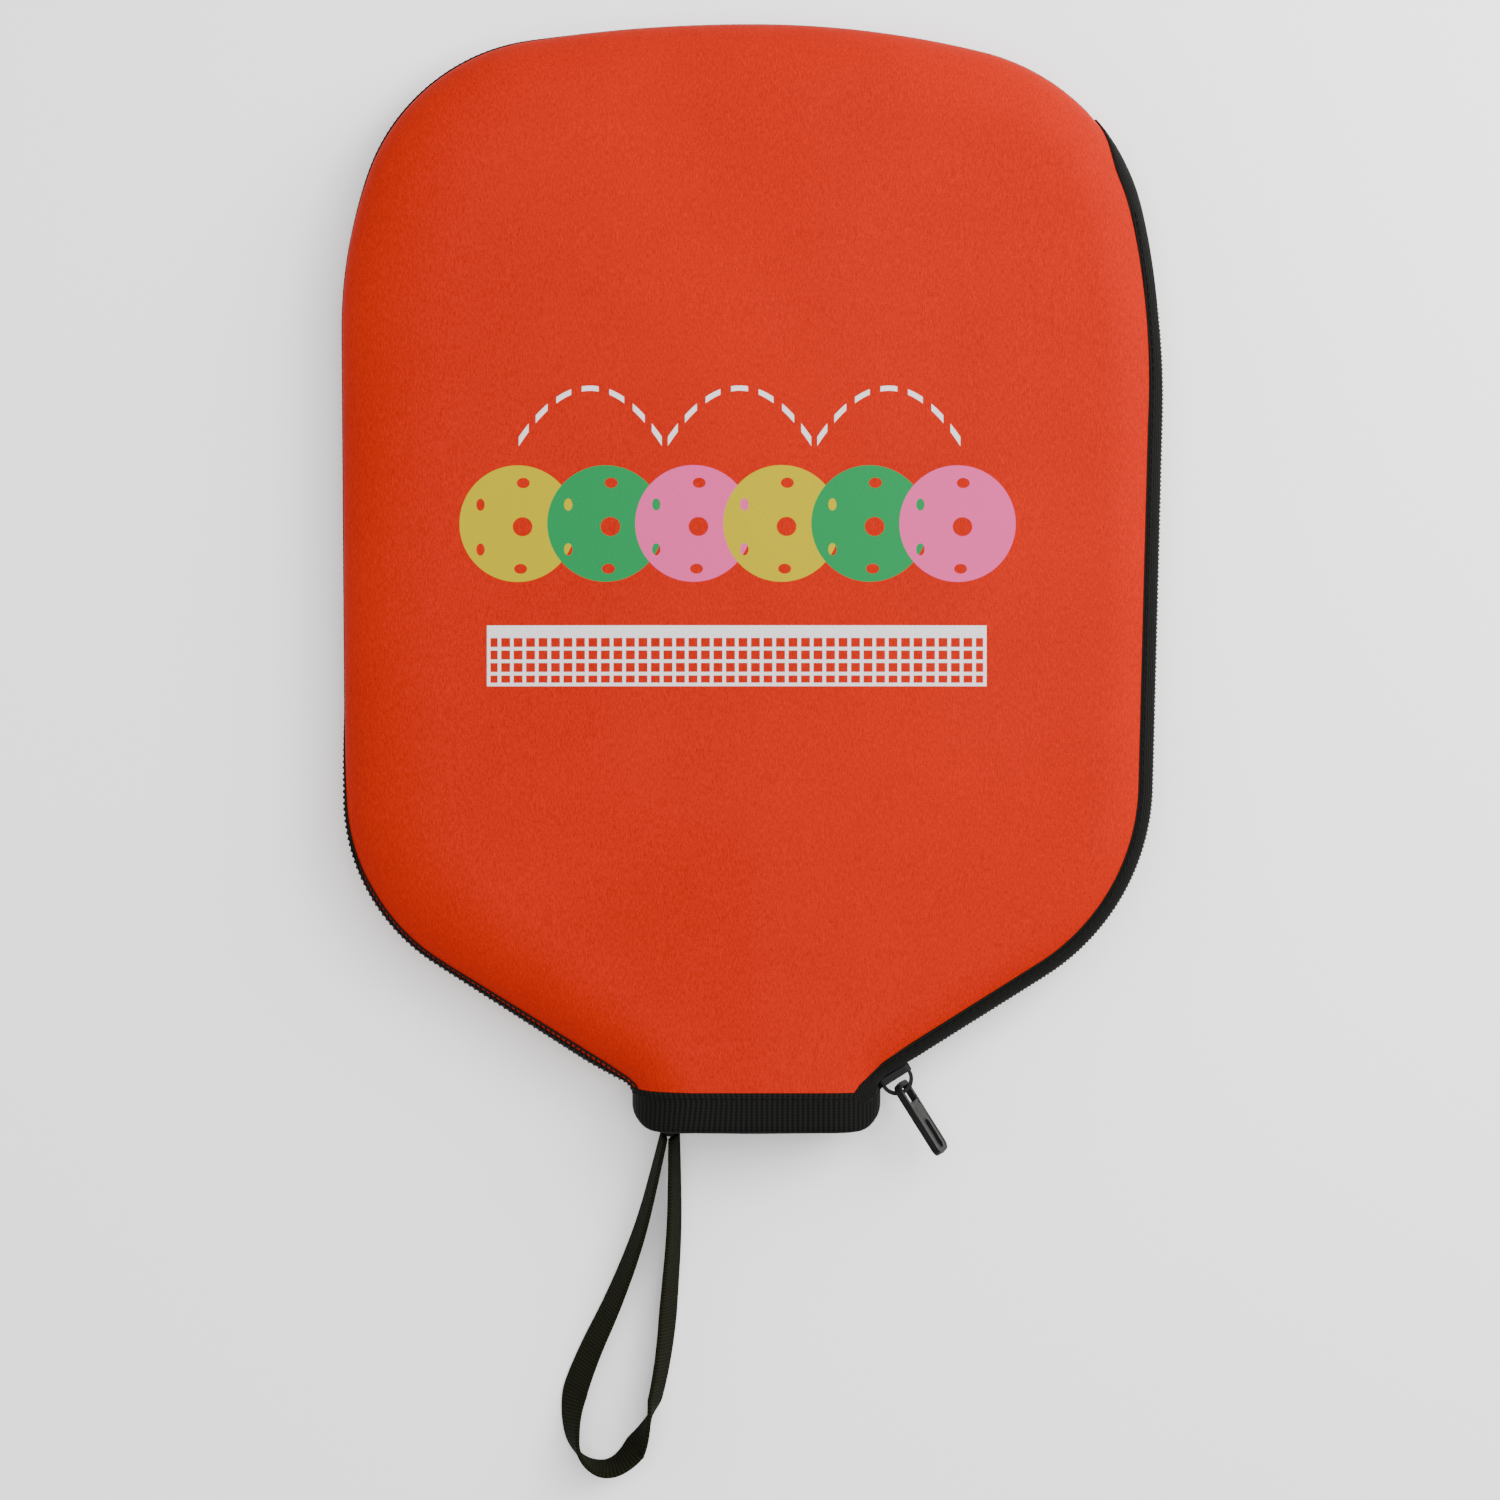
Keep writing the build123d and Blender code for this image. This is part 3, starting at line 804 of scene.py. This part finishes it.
def binding_inner(way):
    """Across value of the zip binding's inner edge."""
    inset = bpy.context.scene.cover_sizes.binding / MM * np.interp(way, *BINDING_SHARE)
    start = way_at_height(RIGHT, ZIP_TAPER_END - BINDING_POINT)
    end = way_at_height(RIGHT, ZIP_TAPER_END)
    point = np.clip((end - way) / (end - start), 0.0, 1.0)
    return across_for_inset(RIGHT, way, inset) * np.sin(point * math.pi / 2)


def binding_outer(way, half):
    """Across value of the zip binding's edge beside the tape."""
    return across_for_rise(half, SLIDER_CLEAR_RISE) * zip_taper(way)


# Across value of the seam's upper rail on the left, against the way from mouth to top
SEAM_RAIL = ((0.0, 0.05, 0.17, 0.24, 0.30, 0.36, 0.68, 0.74, 0.82, 0.88, 1.0),
             (0.30, 0.33, 0.21, 0.20, 0.12, -0.05, -0.05, 0.01, 0.01, -0.04, -0.05))
SEAM_WIDTH = 0.17


def seam_rail(side, way):
    """Across value of the seam's upper rail: highest near the neck, elsewhere under the edge."""
    return np.interp(way, *SEAM_RAIL) if side == LEFT else np.full_like(way, SEAM_RAIL[1][-1])


def panel_edges(half):
    """First across value of a panel on each side: at the seam, and under the binding."""
    return {LEFT: lambda way: np.zeros_like(way),
            RIGHT: lambda way: 0.5 * (binding_inner(way) + binding_outer(way, half))}


PANEL_ROWS, PANEL_COLUMNS = 190, 46
LINING_ROWS, LINING_COLUMNS = 95, 24
LINING_GAP = 0.03 * MM


class COVER_OT_panels(Operator):
    """Build the two padded panels and their linings"""

    bl_idname = "cover.panels"
    bl_label = "Panels"

    def execute(self, context):
        sizes = context.scene.cover_sizes
        for half, name in ((FRONT, "front"), (BACK, "back")):
            points = panel_grid(half, panel_edges(half), PANEL_ROWS, PANEL_COLUMNS)
            normals = panel_normals(points, half)
            panel = shell(f"{name}_panel", points, normals, 0.0, -sizes.panel)
            dress(panel, "knit_face", "cover", f"{name}_panel_face", f"{name}_panel_foam",
                  material="knit_printed" if half == FRONT else "knit_face")
            points = panel_grid(half, panel_edges(half), LINING_ROWS, LINING_COLUMNS)
            normals = panel_normals(points, half)
            inner = -sizes.panel - LINING_GAP
            lining = shell(f"{name}_lining", points, normals, inner, inner - sizes.lining)
            dress(lining, "lining", "cover", f"{name}_panel_lining")
        return {"FINISHED"}


BAND_ROWS, BAND_COLUMNS = 60, 17
BAND_START = {LEFT: 0.0, RIGHT: 0.02}
BAND_RISE = 0.5 * MM
BAND_SINK = 0.4 * MM
BAND_ROUNDING = 10
THREAD_COLUMN = -4
BAND_THREAD_PITCH = 2.6 * MM


def band_surface(half, width):
    """Grid over the band at the mouth: rows from left to right, columns over its width."""
    grids = []
    for side in (LEFT, RIGHT):
        height = np.linspace(0.0, width, BAND_COLUMNS)[None]
        across = np.linspace(BAND_START[side], 2.0, BAND_ROWS)[:, None]
        grids.append(level_surface(side, height, across, half))
    return np.concatenate([grids[LEFT], grids[RIGHT][-2::-1]], axis=0)


class COVER_OT_neck_band(Operator):
    """Build the ribbed band round the mouth and its stitching"""

    bl_idname = "cover.neck_band"
    bl_label = "Neck band"

    def execute(self, context):
        sizes = context.scene.cover_sizes
        width = sizes.band / MM
        for half, name in ((FRONT, "front"), (BACK, "back")):
            points = band_surface(half, width)
            normals = surface_normals(points, half)
            sink = sizes.panel + sizes.lining + BAND_SINK
            band = belt(f"{name}_neck_tape", points, normals, BAND_RISE, sink, BAND_ROUNDING)
            dress(band, "neck_band", "cover", f"{name}_neck_band")
            stitch_row(f"{name}_neck_thread", points[:, THREAD_COLUMN],
                       normals[:, THREAD_COLUMN], BAND_RISE, "cover",
                       f"{name}_neck_stitching", pitch=BAND_THREAD_PITCH)
        return {"FINISHED"}


STITCH_POINTS = 6
STITCH_GAP, STITCH_SHARE = 0.12, 0.76
STITCH_CLEAR = 0.02 * MM
STITCH_ARCH = 0.16 * MM
STITCH_RADIUS = 0.17 * MM


def stitch_row(name, line, normals, rise, body, *nodes, pitch):
    """A row of running stitches along a line, each an arched thread of its own."""
    length = run_length(line)
    count = int(length[-1] / pitch)
    share = np.linspace(0.0, 1.0, STITCH_POINTS)
    at = (np.arange(count)[:, None] + STITCH_GAP + STITCH_SHARE * share) * length[-1] / count
    arch = rise + STITCH_CLEAR + STITCH_ARCH * np.sin(math.pi * share)
    out = along_line(at, length, normals)
    paths = along_line(at, length, line) + out * arch[None, :, None]
    dress(threads(name, paths, out, STITCH_RADIUS), "thread", body, *nodes)


BINDING_START = 8.0
BINDING_RISE, BINDING_SINK = 0.55 * MM, 0.5 * MM
BINDING_THREAD_RISE = 0.5 * MM
BINDING_THREAD_PITCH = 2.4 * MM
TAPE_START = 13.5
TAPE_RISE, TAPE_SINK = -1.35 * MM, 1.9 * MM
COIL_TOP = 249.5
COIL_STEPS = 12
COIL_DEPTH = (1.55, 0.85)
COIL_HEIGHT = (1.12, 0.86)
COIL_THREAD = 0.27 * MM


class COVER_OT_zip(Operator):
    """Build the zip's bindings with their stitching, its tapes and its coils"""

    bl_idname = "cover.zip"
    bl_label = "Zip"

    def execute(self, context):
        for half, name in ((FRONT, "front"), (BACK, "back")):
            self.binding(name, half)
            self.tape(name, half)
            self.coil(name, half, context.scene.cover_sizes.coil_pitch)
        return {"FINISHED"}

    def binding(self, name, half):
        """Folded tape over the raw edge of a panel, and the stitches along its inner edge."""
        first = way_at_height(RIGHT, BINDING_START)
        way = np.linspace(first, way_at_height(RIGHT, ZIP_TAPER_END - 0.5), 260)
        low = binding_outer(way, half)[:, None]
        high = binding_inner(way)[:, None]
        across = low + (high - low) * np.linspace(0.0, 1.0, 15)
        points, normals = strip_surface(RIGHT, way, across, half)
        belt_piece = belt(f"{name}_edge_tape", points, normals, BINDING_RISE, BINDING_SINK,
                          rounding=5)
        dress(belt_piece, "binding", "cover", f"{name}_zip_binding")
        line = slice(4, -24)
        stitch_row(f"{name}_edge_thread", points[line, THREAD_COLUMN],
                   normals[line, THREAD_COLUMN], BINDING_THREAD_RISE, "cover",
                   f"{name}_binding_stitching", pitch=BINDING_THREAD_PITCH)

    def tape(self, name, half):
        """Woven tape between coil and binding, just inside the edge."""
        first = way_at_height(RIGHT, TAPE_START)
        way = np.linspace(first, way_at_height(RIGHT, ZIP_TAPER_END - 0.8), 240)
        low = across_for_rise(half, COIL_RISE - 0.5) * zip_taper(way)[:, None]
        high = across_for_rise(half, SLIDER_CLEAR_RISE + 1.2) * zip_taper(way)[:, None]
        across = low + (high - low) * np.linspace(0.0, 1.0, 9)
        points, normals = strip_surface(RIGHT, way, across, half)
        tape = belt(f"{name}_woven_tape", points, normals, TAPE_RISE, TAPE_SINK)
        dress(tape, "zip_tape", "cover", f"{name}_zip_tape")

    def coil(self, name, half, pitch):
        """A nylon helix: round the tape's edge in an ellipse, one pitch for each turn."""
        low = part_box(f"{name}_zip_coil")[0].y
        first = way_at_height(RIGHT, (low - MOUTH_Y) / MM)
        last = way_at_height(RIGHT, COIL_TOP)
        length = (last - first) * RIMS[RIGHT][2][-1] * MM
        turns = int(length / pitch)
        phase = np.linspace(0.0, turns, turns * COIL_STEPS + 1)
        way = first + (last - first) * phase / turns
        rim = cover_surface(RIGHT, way, np.zeros_like(way), half)
        _, inward = rim_at(RIGHT, way)
        angle = phase * 2 * math.pi
        depth = (COIL_DEPTH[0] - COIL_DEPTH[1] * np.cos(angle)) * MM
        height = (COIL_HEIGHT[0] + COIL_HEIGHT[1] * np.sin(angle)) * MM * half
        path = rim + np.concatenate([inward * depth[:, None], height[:, None]], axis=1)
        normals = np.concatenate([-inward, np.zeros((len(way), 1))], axis=1)
        normals[:, 2] = 0.3
        coil = threads(f"{name}_coil", path[None], normals[None], COIL_THREAD, sides=5)
        dress(coil, "zip_coil", "cover", f"{name}_zip_coil")


SEAM_START = 8.0
SEAM_COLUMNS = 12
SEAM_LOW = -0.07
COVERED_COLUMNS = 10
SEAM_RISE, SEAM_SINK = 0.35 * MM, 0.3 * MM
RAIL_LIFT, RAIL_RADIUS = 0.12 * MM, 0.34 * MM
CROSSING_COLUMNS = (3, 5, 7, 9, 11)
CROSSING_LEAN = 0.45
CROSSING_RISE, CROSSING_ARCH = 0.30, 0.12
CROSSING_RADIUS = 0.36 * MM


class COVER_OT_seam(Operator):
    """Build the flat seam round the left and top edges from its threads"""

    bl_idname = "cover.seam"
    bl_label = "Edge seam"

    def execute(self, context):
        pitch = context.scene.cover_sizes.stitch
        left = np.linspace(way_at_height(LEFT, SEAM_START), 1.0, 300)
        right = np.linspace(1.0, way_at_height(RIGHT, ZIP_TAPER_END + 0.5), 70)
        legs = [self.leg(LEFT, left), self.leg(RIGHT, right)]
        points = np.concatenate([legs[0][0], legs[1][0][1:]])
        normals = np.concatenate([legs[0][1], legs[1][1][1:]])
        cover = belt("seam_cover", points[:, :COVERED_COLUMNS], normals[:, :COVERED_COLUMNS],
                     SEAM_RISE, SEAM_SINK)
        dress(cover, "thread", "cover", "edge_seam", material="seam_cord")
        edge = normals[None, :, -1]
        rail = threads("seam_rail", points[None, :, -1] + edge * RAIL_LIFT, edge, RAIL_RADIUS)
        dress(rail, "thread", "cover")
        self.crossings(points, normals, pitch)
        return {"FINISHED"}

    def leg(self, side, way):
        """Grid of the seam along one side, from just under the edge up to its rail."""
        high = seam_rail(side, way)[:, None]
        low = np.minimum(high - SEAM_WIDTH, SEAM_LOW)
        across = low + (high - low) * np.linspace(0.0, 1.0, SEAM_COLUMNS)
        return strip_surface(side, way, across, FRONT)

    def crossings(self, points, normals, pitch):
        """Threads that cross from the covered edge to the rail, leaning one way."""
        length = run_length(points[:, 8])
        count = int(length[-1] / pitch) - 1
        at = (np.arange(count) + 0.3) * pitch
        lean = np.linspace(0.0, CROSSING_LEAN, len(CROSSING_COLUMNS)) * pitch
        paths, out = (np.stack([along_line(at + shift, length, source[:, column])
                                for shift, column in zip(lean, CROSSING_COLUMNS)], axis=1)
                      for source in (points, normals))
        wave = np.sin(np.linspace(0.0, math.pi, len(CROSSING_COLUMNS)))
        lift = (CROSSING_RISE + CROSSING_ARCH * wave) * MM
        paths = paths + out * lift[None, :, None]
        dress(threads("seam_stitches", paths, out, CROSSING_RADIUS), "thread", "cover")


# Lean of the webbing from upright in degrees, against the share of its length
STRAP_LEAN = ((0.0, 0.10, 0.25, 0.38, 0.44, 0.50, 0.56, 0.63, 0.75, 1.0),
              (8.0, 14.0, 27.0, 40.0, 22.0, -12.0, -34.0, 18.0, 24.0, 12.0))
EDGE_LIFT = 0.15 * MM
ROOT_SINK = 0.35 * MM
MOUTH_LIFT = 1.4 * MM
STRAP_DROP = 42.0
LEAN_START = 0.03
SECTION_POINTS = 32
WIDTH_POWER, THICKNESS_POWER = 0.25, 0.5


def spline_points(route):
    """Points along a smooth curve of order three through a route's control points."""
    curve = bpy.data.curves.new("strap_route", "CURVE")
    curve.dimensions = "3D"
    spline = curve.splines.new("NURBS")
    spline.points.add(len(route) - 1)
    for point, place in zip(spline.points, route):
        point.co = (*place, 1.0)
    spline.order_u = 3
    spline.use_endpoint_u = True
    spline.resolution_u = 12
    guide = bpy.data.objects.new("strap_route", curve)
    bpy.context.collection.objects.link(guide)
    mesh = bpy.data.meshes.new_from_object(guide)
    points = np.empty(len(mesh.vertices) * 3, dtype=np.float32)
    mesh.vertices.foreach_get("co", points)
    bpy.data.objects.remove(guide)
    bpy.data.curves.remove(curve)
    bpy.data.meshes.remove(mesh)
    return points.reshape(-1, 3).astype(float)


class COVER_OT_wrist_strap(Operator):
    """Build the wrist strap: webbing on its edge that leans as it goes round its loop"""

    bl_idname = "cover.wrist_strap"
    bl_label = "Wrist strap"

    def execute(self, context):
        sizes = context.scene.cover_sizes
        width, thickness = sizes.strap_width, sizes.strap_thickness
        start_height = sum(corner.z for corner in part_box("wrist_strap")) / 2 + MOUTH_LIFT
        route = []
        for x, y in STRAP_ROUTE:
            share = min(1.0, max(0.0, -y / STRAP_DROP))
            height = start_height + (width / 2 + EDGE_LIFT - start_height) * share
            route.append((x * MM + SHIFT_X, y * MM + MOUTH_Y, height))
        path = spline_points(route)
        path = path[path[:, 1] < MOUTH_Y - ROOT_SINK]
        along = run_length(path)
        lean = np.radians(np.interp(along / along[-1], *STRAP_LEAN))
        path[:, 2] -= (width / 2) * (1.0 - np.cos(lean)) * np.clip(along / LEAN_START, 0.0, 1.0)
        rings, around = self.rings(path, lean, width, thickness)
        uv = np.stack(np.broadcast_arrays(along[:, None], around[None]), axis=-1)
        strap = tube("webbing_loop", rings, uv=uv)
        close_normals(strap)
        dress(strap, "webbing", "wrist_strap", "wrist_strap")
        return {"FINISHED"}

    def rings(self, path, lean, width, thickness):
        """Sections of the webbing: a flat oval, its width tipped from upright by the lean."""
        tangent = unit(np.gradient(path, axis=0))
        outward = unit(np.cross(tangent, [0.0, 0.0, 1.0]))
        upward = np.cross(outward, tangent)
        lean = lean[:, None]
        over = upward * np.cos(lean) - outward * np.sin(lean)
        through = outward * np.cos(lean) + upward * np.sin(lean)
        angle = np.linspace(0.0, 2 * math.pi, SECTION_POINTS, endpoint=False)
        wide, deep = np.cos(angle), np.sin(angle)
        flat = np.sign(wide) * np.abs(wide) ** WIDTH_POWER * width / 2
        thick = np.sign(deep) * np.abs(deep) ** THICKNESS_POWER * thickness / 2
        rings = (path[:, None] + over[:, None] * flat[None, :, None]
                 + through[:, None] * thick[None, :, None])
        return rings, flat


TAB_LEAN = 6.0
TAB_WELD = 0.001 * MM
SHARP_ANGLE = 30.0
TAB_NODES = ("pull_frame", "pull_inlay_front", "pull_inlay_back")


class COVER_OT_pull_tab(Operator):
    """Build the pull tab, which leans in its crown further than its hinge does"""

    bl_idname = "cover.pull_tab"
    bl_label = "Pull tab"

    def execute(self, context):
        joint = next(row for row in frame["joints"] if row["name"] == "pull_swing")
        pivot = Vector(joint["pos_m"])
        length = Vector((0.0, 0.0, 1.0)).cross(Vector(joint["axis"])).normalized()
        lean = Matrix.Rotation(math.radians(TAB_LEAN), 4, length)
        place = Matrix.Translation(pivot) @ lean @ Matrix.Translation(-pivot)
        for node in TAB_NODES:
            mesh = frame["nodes"][node].data.copy()
            shape = bmesh.new()
            shape.from_mesh(mesh)
            bmesh.ops.remove_doubles(shape, verts=shape.verts, dist=TAB_WELD)
            shape.transform(place)
            shape.to_mesh(mesh)
            shape.free()
            mesh.shade_smooth()
            mesh.set_sharp_from_angle(angle=math.radians(SHARP_ANGLE))
            mesh.materials.clear()
            piece = bpy.data.objects.new(f"leaning_{node}", mesh)
            context.collection.objects.link(piece)
            slot = "pull_rim" if node == "pull_frame" else "pull_face"
            dress(piece, slot, "pull_tab", node)
        return {"FINISHED"}


# Slots whose frame pieces have no lengthwise measure of their own, and so no ribs
PLAIN_FINISH = {"webbing": "thread", "zip_tape": "thread", "neck_band": "thread",
                "binding": "thread"}


class COVER_OT_hardware(Operator):
    """Give the slider, the pull tab, the stops and the strap's anchor their finishes"""

    bl_idname = "cover.hardware"
    bl_label = "Hardware"

    def execute(self, context):
        slots = {row["node"]: row["material_slot"] for row in frame["record"]["subparts"]}
        for name, node in frame["nodes"].items():
            node.data.materials.clear()
            node.data.materials.append(FINISHES[PLAIN_FINISH.get(slots[name], slots[name])])
        return {"FINISHED"}


class COVER_OT_finishes(Operator):
    """Make every material"""

    bl_idname = "cover.finishes"
    bl_label = "Finishes"

    def execute(self, context):
        make_finishes()
        return {"FINISHED"}


CAMERA_CENTRE = (-0.7, 101.6)
CAMERA_VIEW = 0.400
CAMERA_LENS = 85.0
SENSOR = 36.0
# Name, place, target, size, power and colour of each light
LIGHTS = (
    ("overhead", (0.15, 0.10, 1.3), (0.0, 0.0, 0.0), (1.5, 1.5), 24.0, (1.0, 1.0, 1.0)),
    ("right_side", (0.62, 0.34, 0.50), (0.02, 0.02, 0.0), (0.5, 0.7), 13.0, (1.0, 0.98, 0.96)),
    ("left_low", (-1.2, -0.1, 0.45), (0.0, 0.0, 0.0), (0.5, 1.0), 4.0, (0.97, 0.98, 1.0)),
)
WORLD_STRENGTH = 0.65
FLOOR_COLOUR = (0.92, 0.92, 0.92, 1.0)
FLOOR_REACH = 4
FLOOR_DROP = 0.05 * MM


def add_light(name, place, target, size, power, colour):
    """A square soft light that faces a point."""
    lamp = bpy.data.lights.new(name, "AREA")
    lamp.shape = "RECTANGLE"
    lamp.size, lamp.size_y = size
    lamp.energy = power
    lamp.color = colour
    piece = bpy.data.objects.new(name, lamp)
    bpy.context.collection.objects.link(piece)
    piece.location = place
    aim = np.array(target) - np.array(place)
    piece.rotation_mode = "QUATERNION"
    piece.rotation_quaternion = Vector(aim).to_track_quat("-Z", "Y")


class COVER_OT_stage(Operator):
    """Set the pale floor, the soft lights and the camera straight above"""

    bl_idname = "cover.stage"
    bl_label = "Stage"

    def execute(self, context):
        scene = context.scene
        centre = (CAMERA_CENTRE[0] * MM + SHIFT_X, CAMERA_CENTRE[1] * MM + MOUTH_Y)
        reach = CAMERA_VIEW / 2 / (SENSOR / 2 / CAMERA_LENS)
        lens = bpy.data.cameras.new("above")
        lens.lens = CAMERA_LENS
        lens.sensor_width = SENSOR
        camera = bpy.data.objects.new("above", lens)
        scene.collection.objects.link(camera)
        camera.location = (*centre, MID_Z + reach)
        scene.camera = camera
        self.floor()
        for light in LIGHTS:
            add_light(*light)
        world = bpy.data.worlds.new("studio")
        world.use_nodes = True
        world.node_tree.nodes["Background"].inputs[0].default_value = (1.0, 1.0, 1.0, 1.0)
        world.node_tree.nodes["Background"].inputs[1].default_value = WORLD_STRENGTH
        scene.world = world
        return {"FINISHED"}

    def floor(self):
        """A wide plane just under the cover."""
        signs = np.array([[-1, -1, 0], [1, -1, 0], [1, 1, 0], [-1, 1, 0]], dtype=float)
        corners = signs * FLOOR_REACH - np.array([0.0, 0.0, FLOOR_DROP])
        floor = add_mesh("floor", corners, [[0, 1, 2, 3]])
        material = bpy.data.materials.new("floor")
        material.use_nodes = True
        shader = material.node_tree.nodes["Principled BSDF"]
        shader.inputs["Base Color"].default_value = FLOOR_COLOUR
        shader.inputs["Roughness"].default_value = 0.9
        floor.data.materials.append(material)
        return floor


class COVER_PT_pieces(Panel):
    """Lists the cover's pieces, sizes and colours in the sidebar"""

    bl_idname = "COVER_PT_pieces"
    bl_label = "Paddle Cover"
    bl_space_type = "VIEW_3D"
    bl_region_type = "UI"
    bl_category = "Paddle Cover"

    def draw(self, context):
        for group in (context.scene.cover_sizes, context.scene.cover_colours):
            for name in group.bl_rna.properties.keys():
                if name not in ("rna_type", "name"):
                    self.layout.prop(group, name)
        for operator in OPERATORS:
            self.layout.operator(operator.bl_idname)


OPERATORS = (COVER_OT_finishes, COVER_OT_stage, COVER_OT_wrist_strap, COVER_OT_panels,
             COVER_OT_neck_band, COVER_OT_zip, COVER_OT_seam, COVER_OT_pull_tab,
             COVER_OT_hardware)
CLASSES = (CoverSizes, CoverColours, *OPERATORS, COVER_PT_pieces)


def register():
    """Registers the classes and the two groups of values that a user can change."""
    for item in CLASSES:
        bpy.utils.register_class(item)
    bpy.types.Scene.cover_sizes = PointerProperty(type=CoverSizes)
    bpy.types.Scene.cover_colours = PointerProperty(type=CoverColours)


def unregister():
    """Takes the classes and the groups of values away again."""
    del bpy.types.Scene.cover_colours
    del bpy.types.Scene.cover_sizes
    for item in reversed(CLASSES):
        bpy.utils.unregister_class(item)


def main():
    """Builds the whole cover."""
    register()
    bpy.ops.cover.finishes()
    bpy.ops.cover.stage()
    bpy.ops.cover.wrist_strap()
    bpy.ops.cover.panels()
    bpy.ops.cover.neck_band()
    bpy.ops.cover.zip()
    bpy.ops.cover.seam()
    bpy.ops.cover.pull_tab()
    bpy.ops.cover.hardware()


if __name__ == "__main__":
    main()
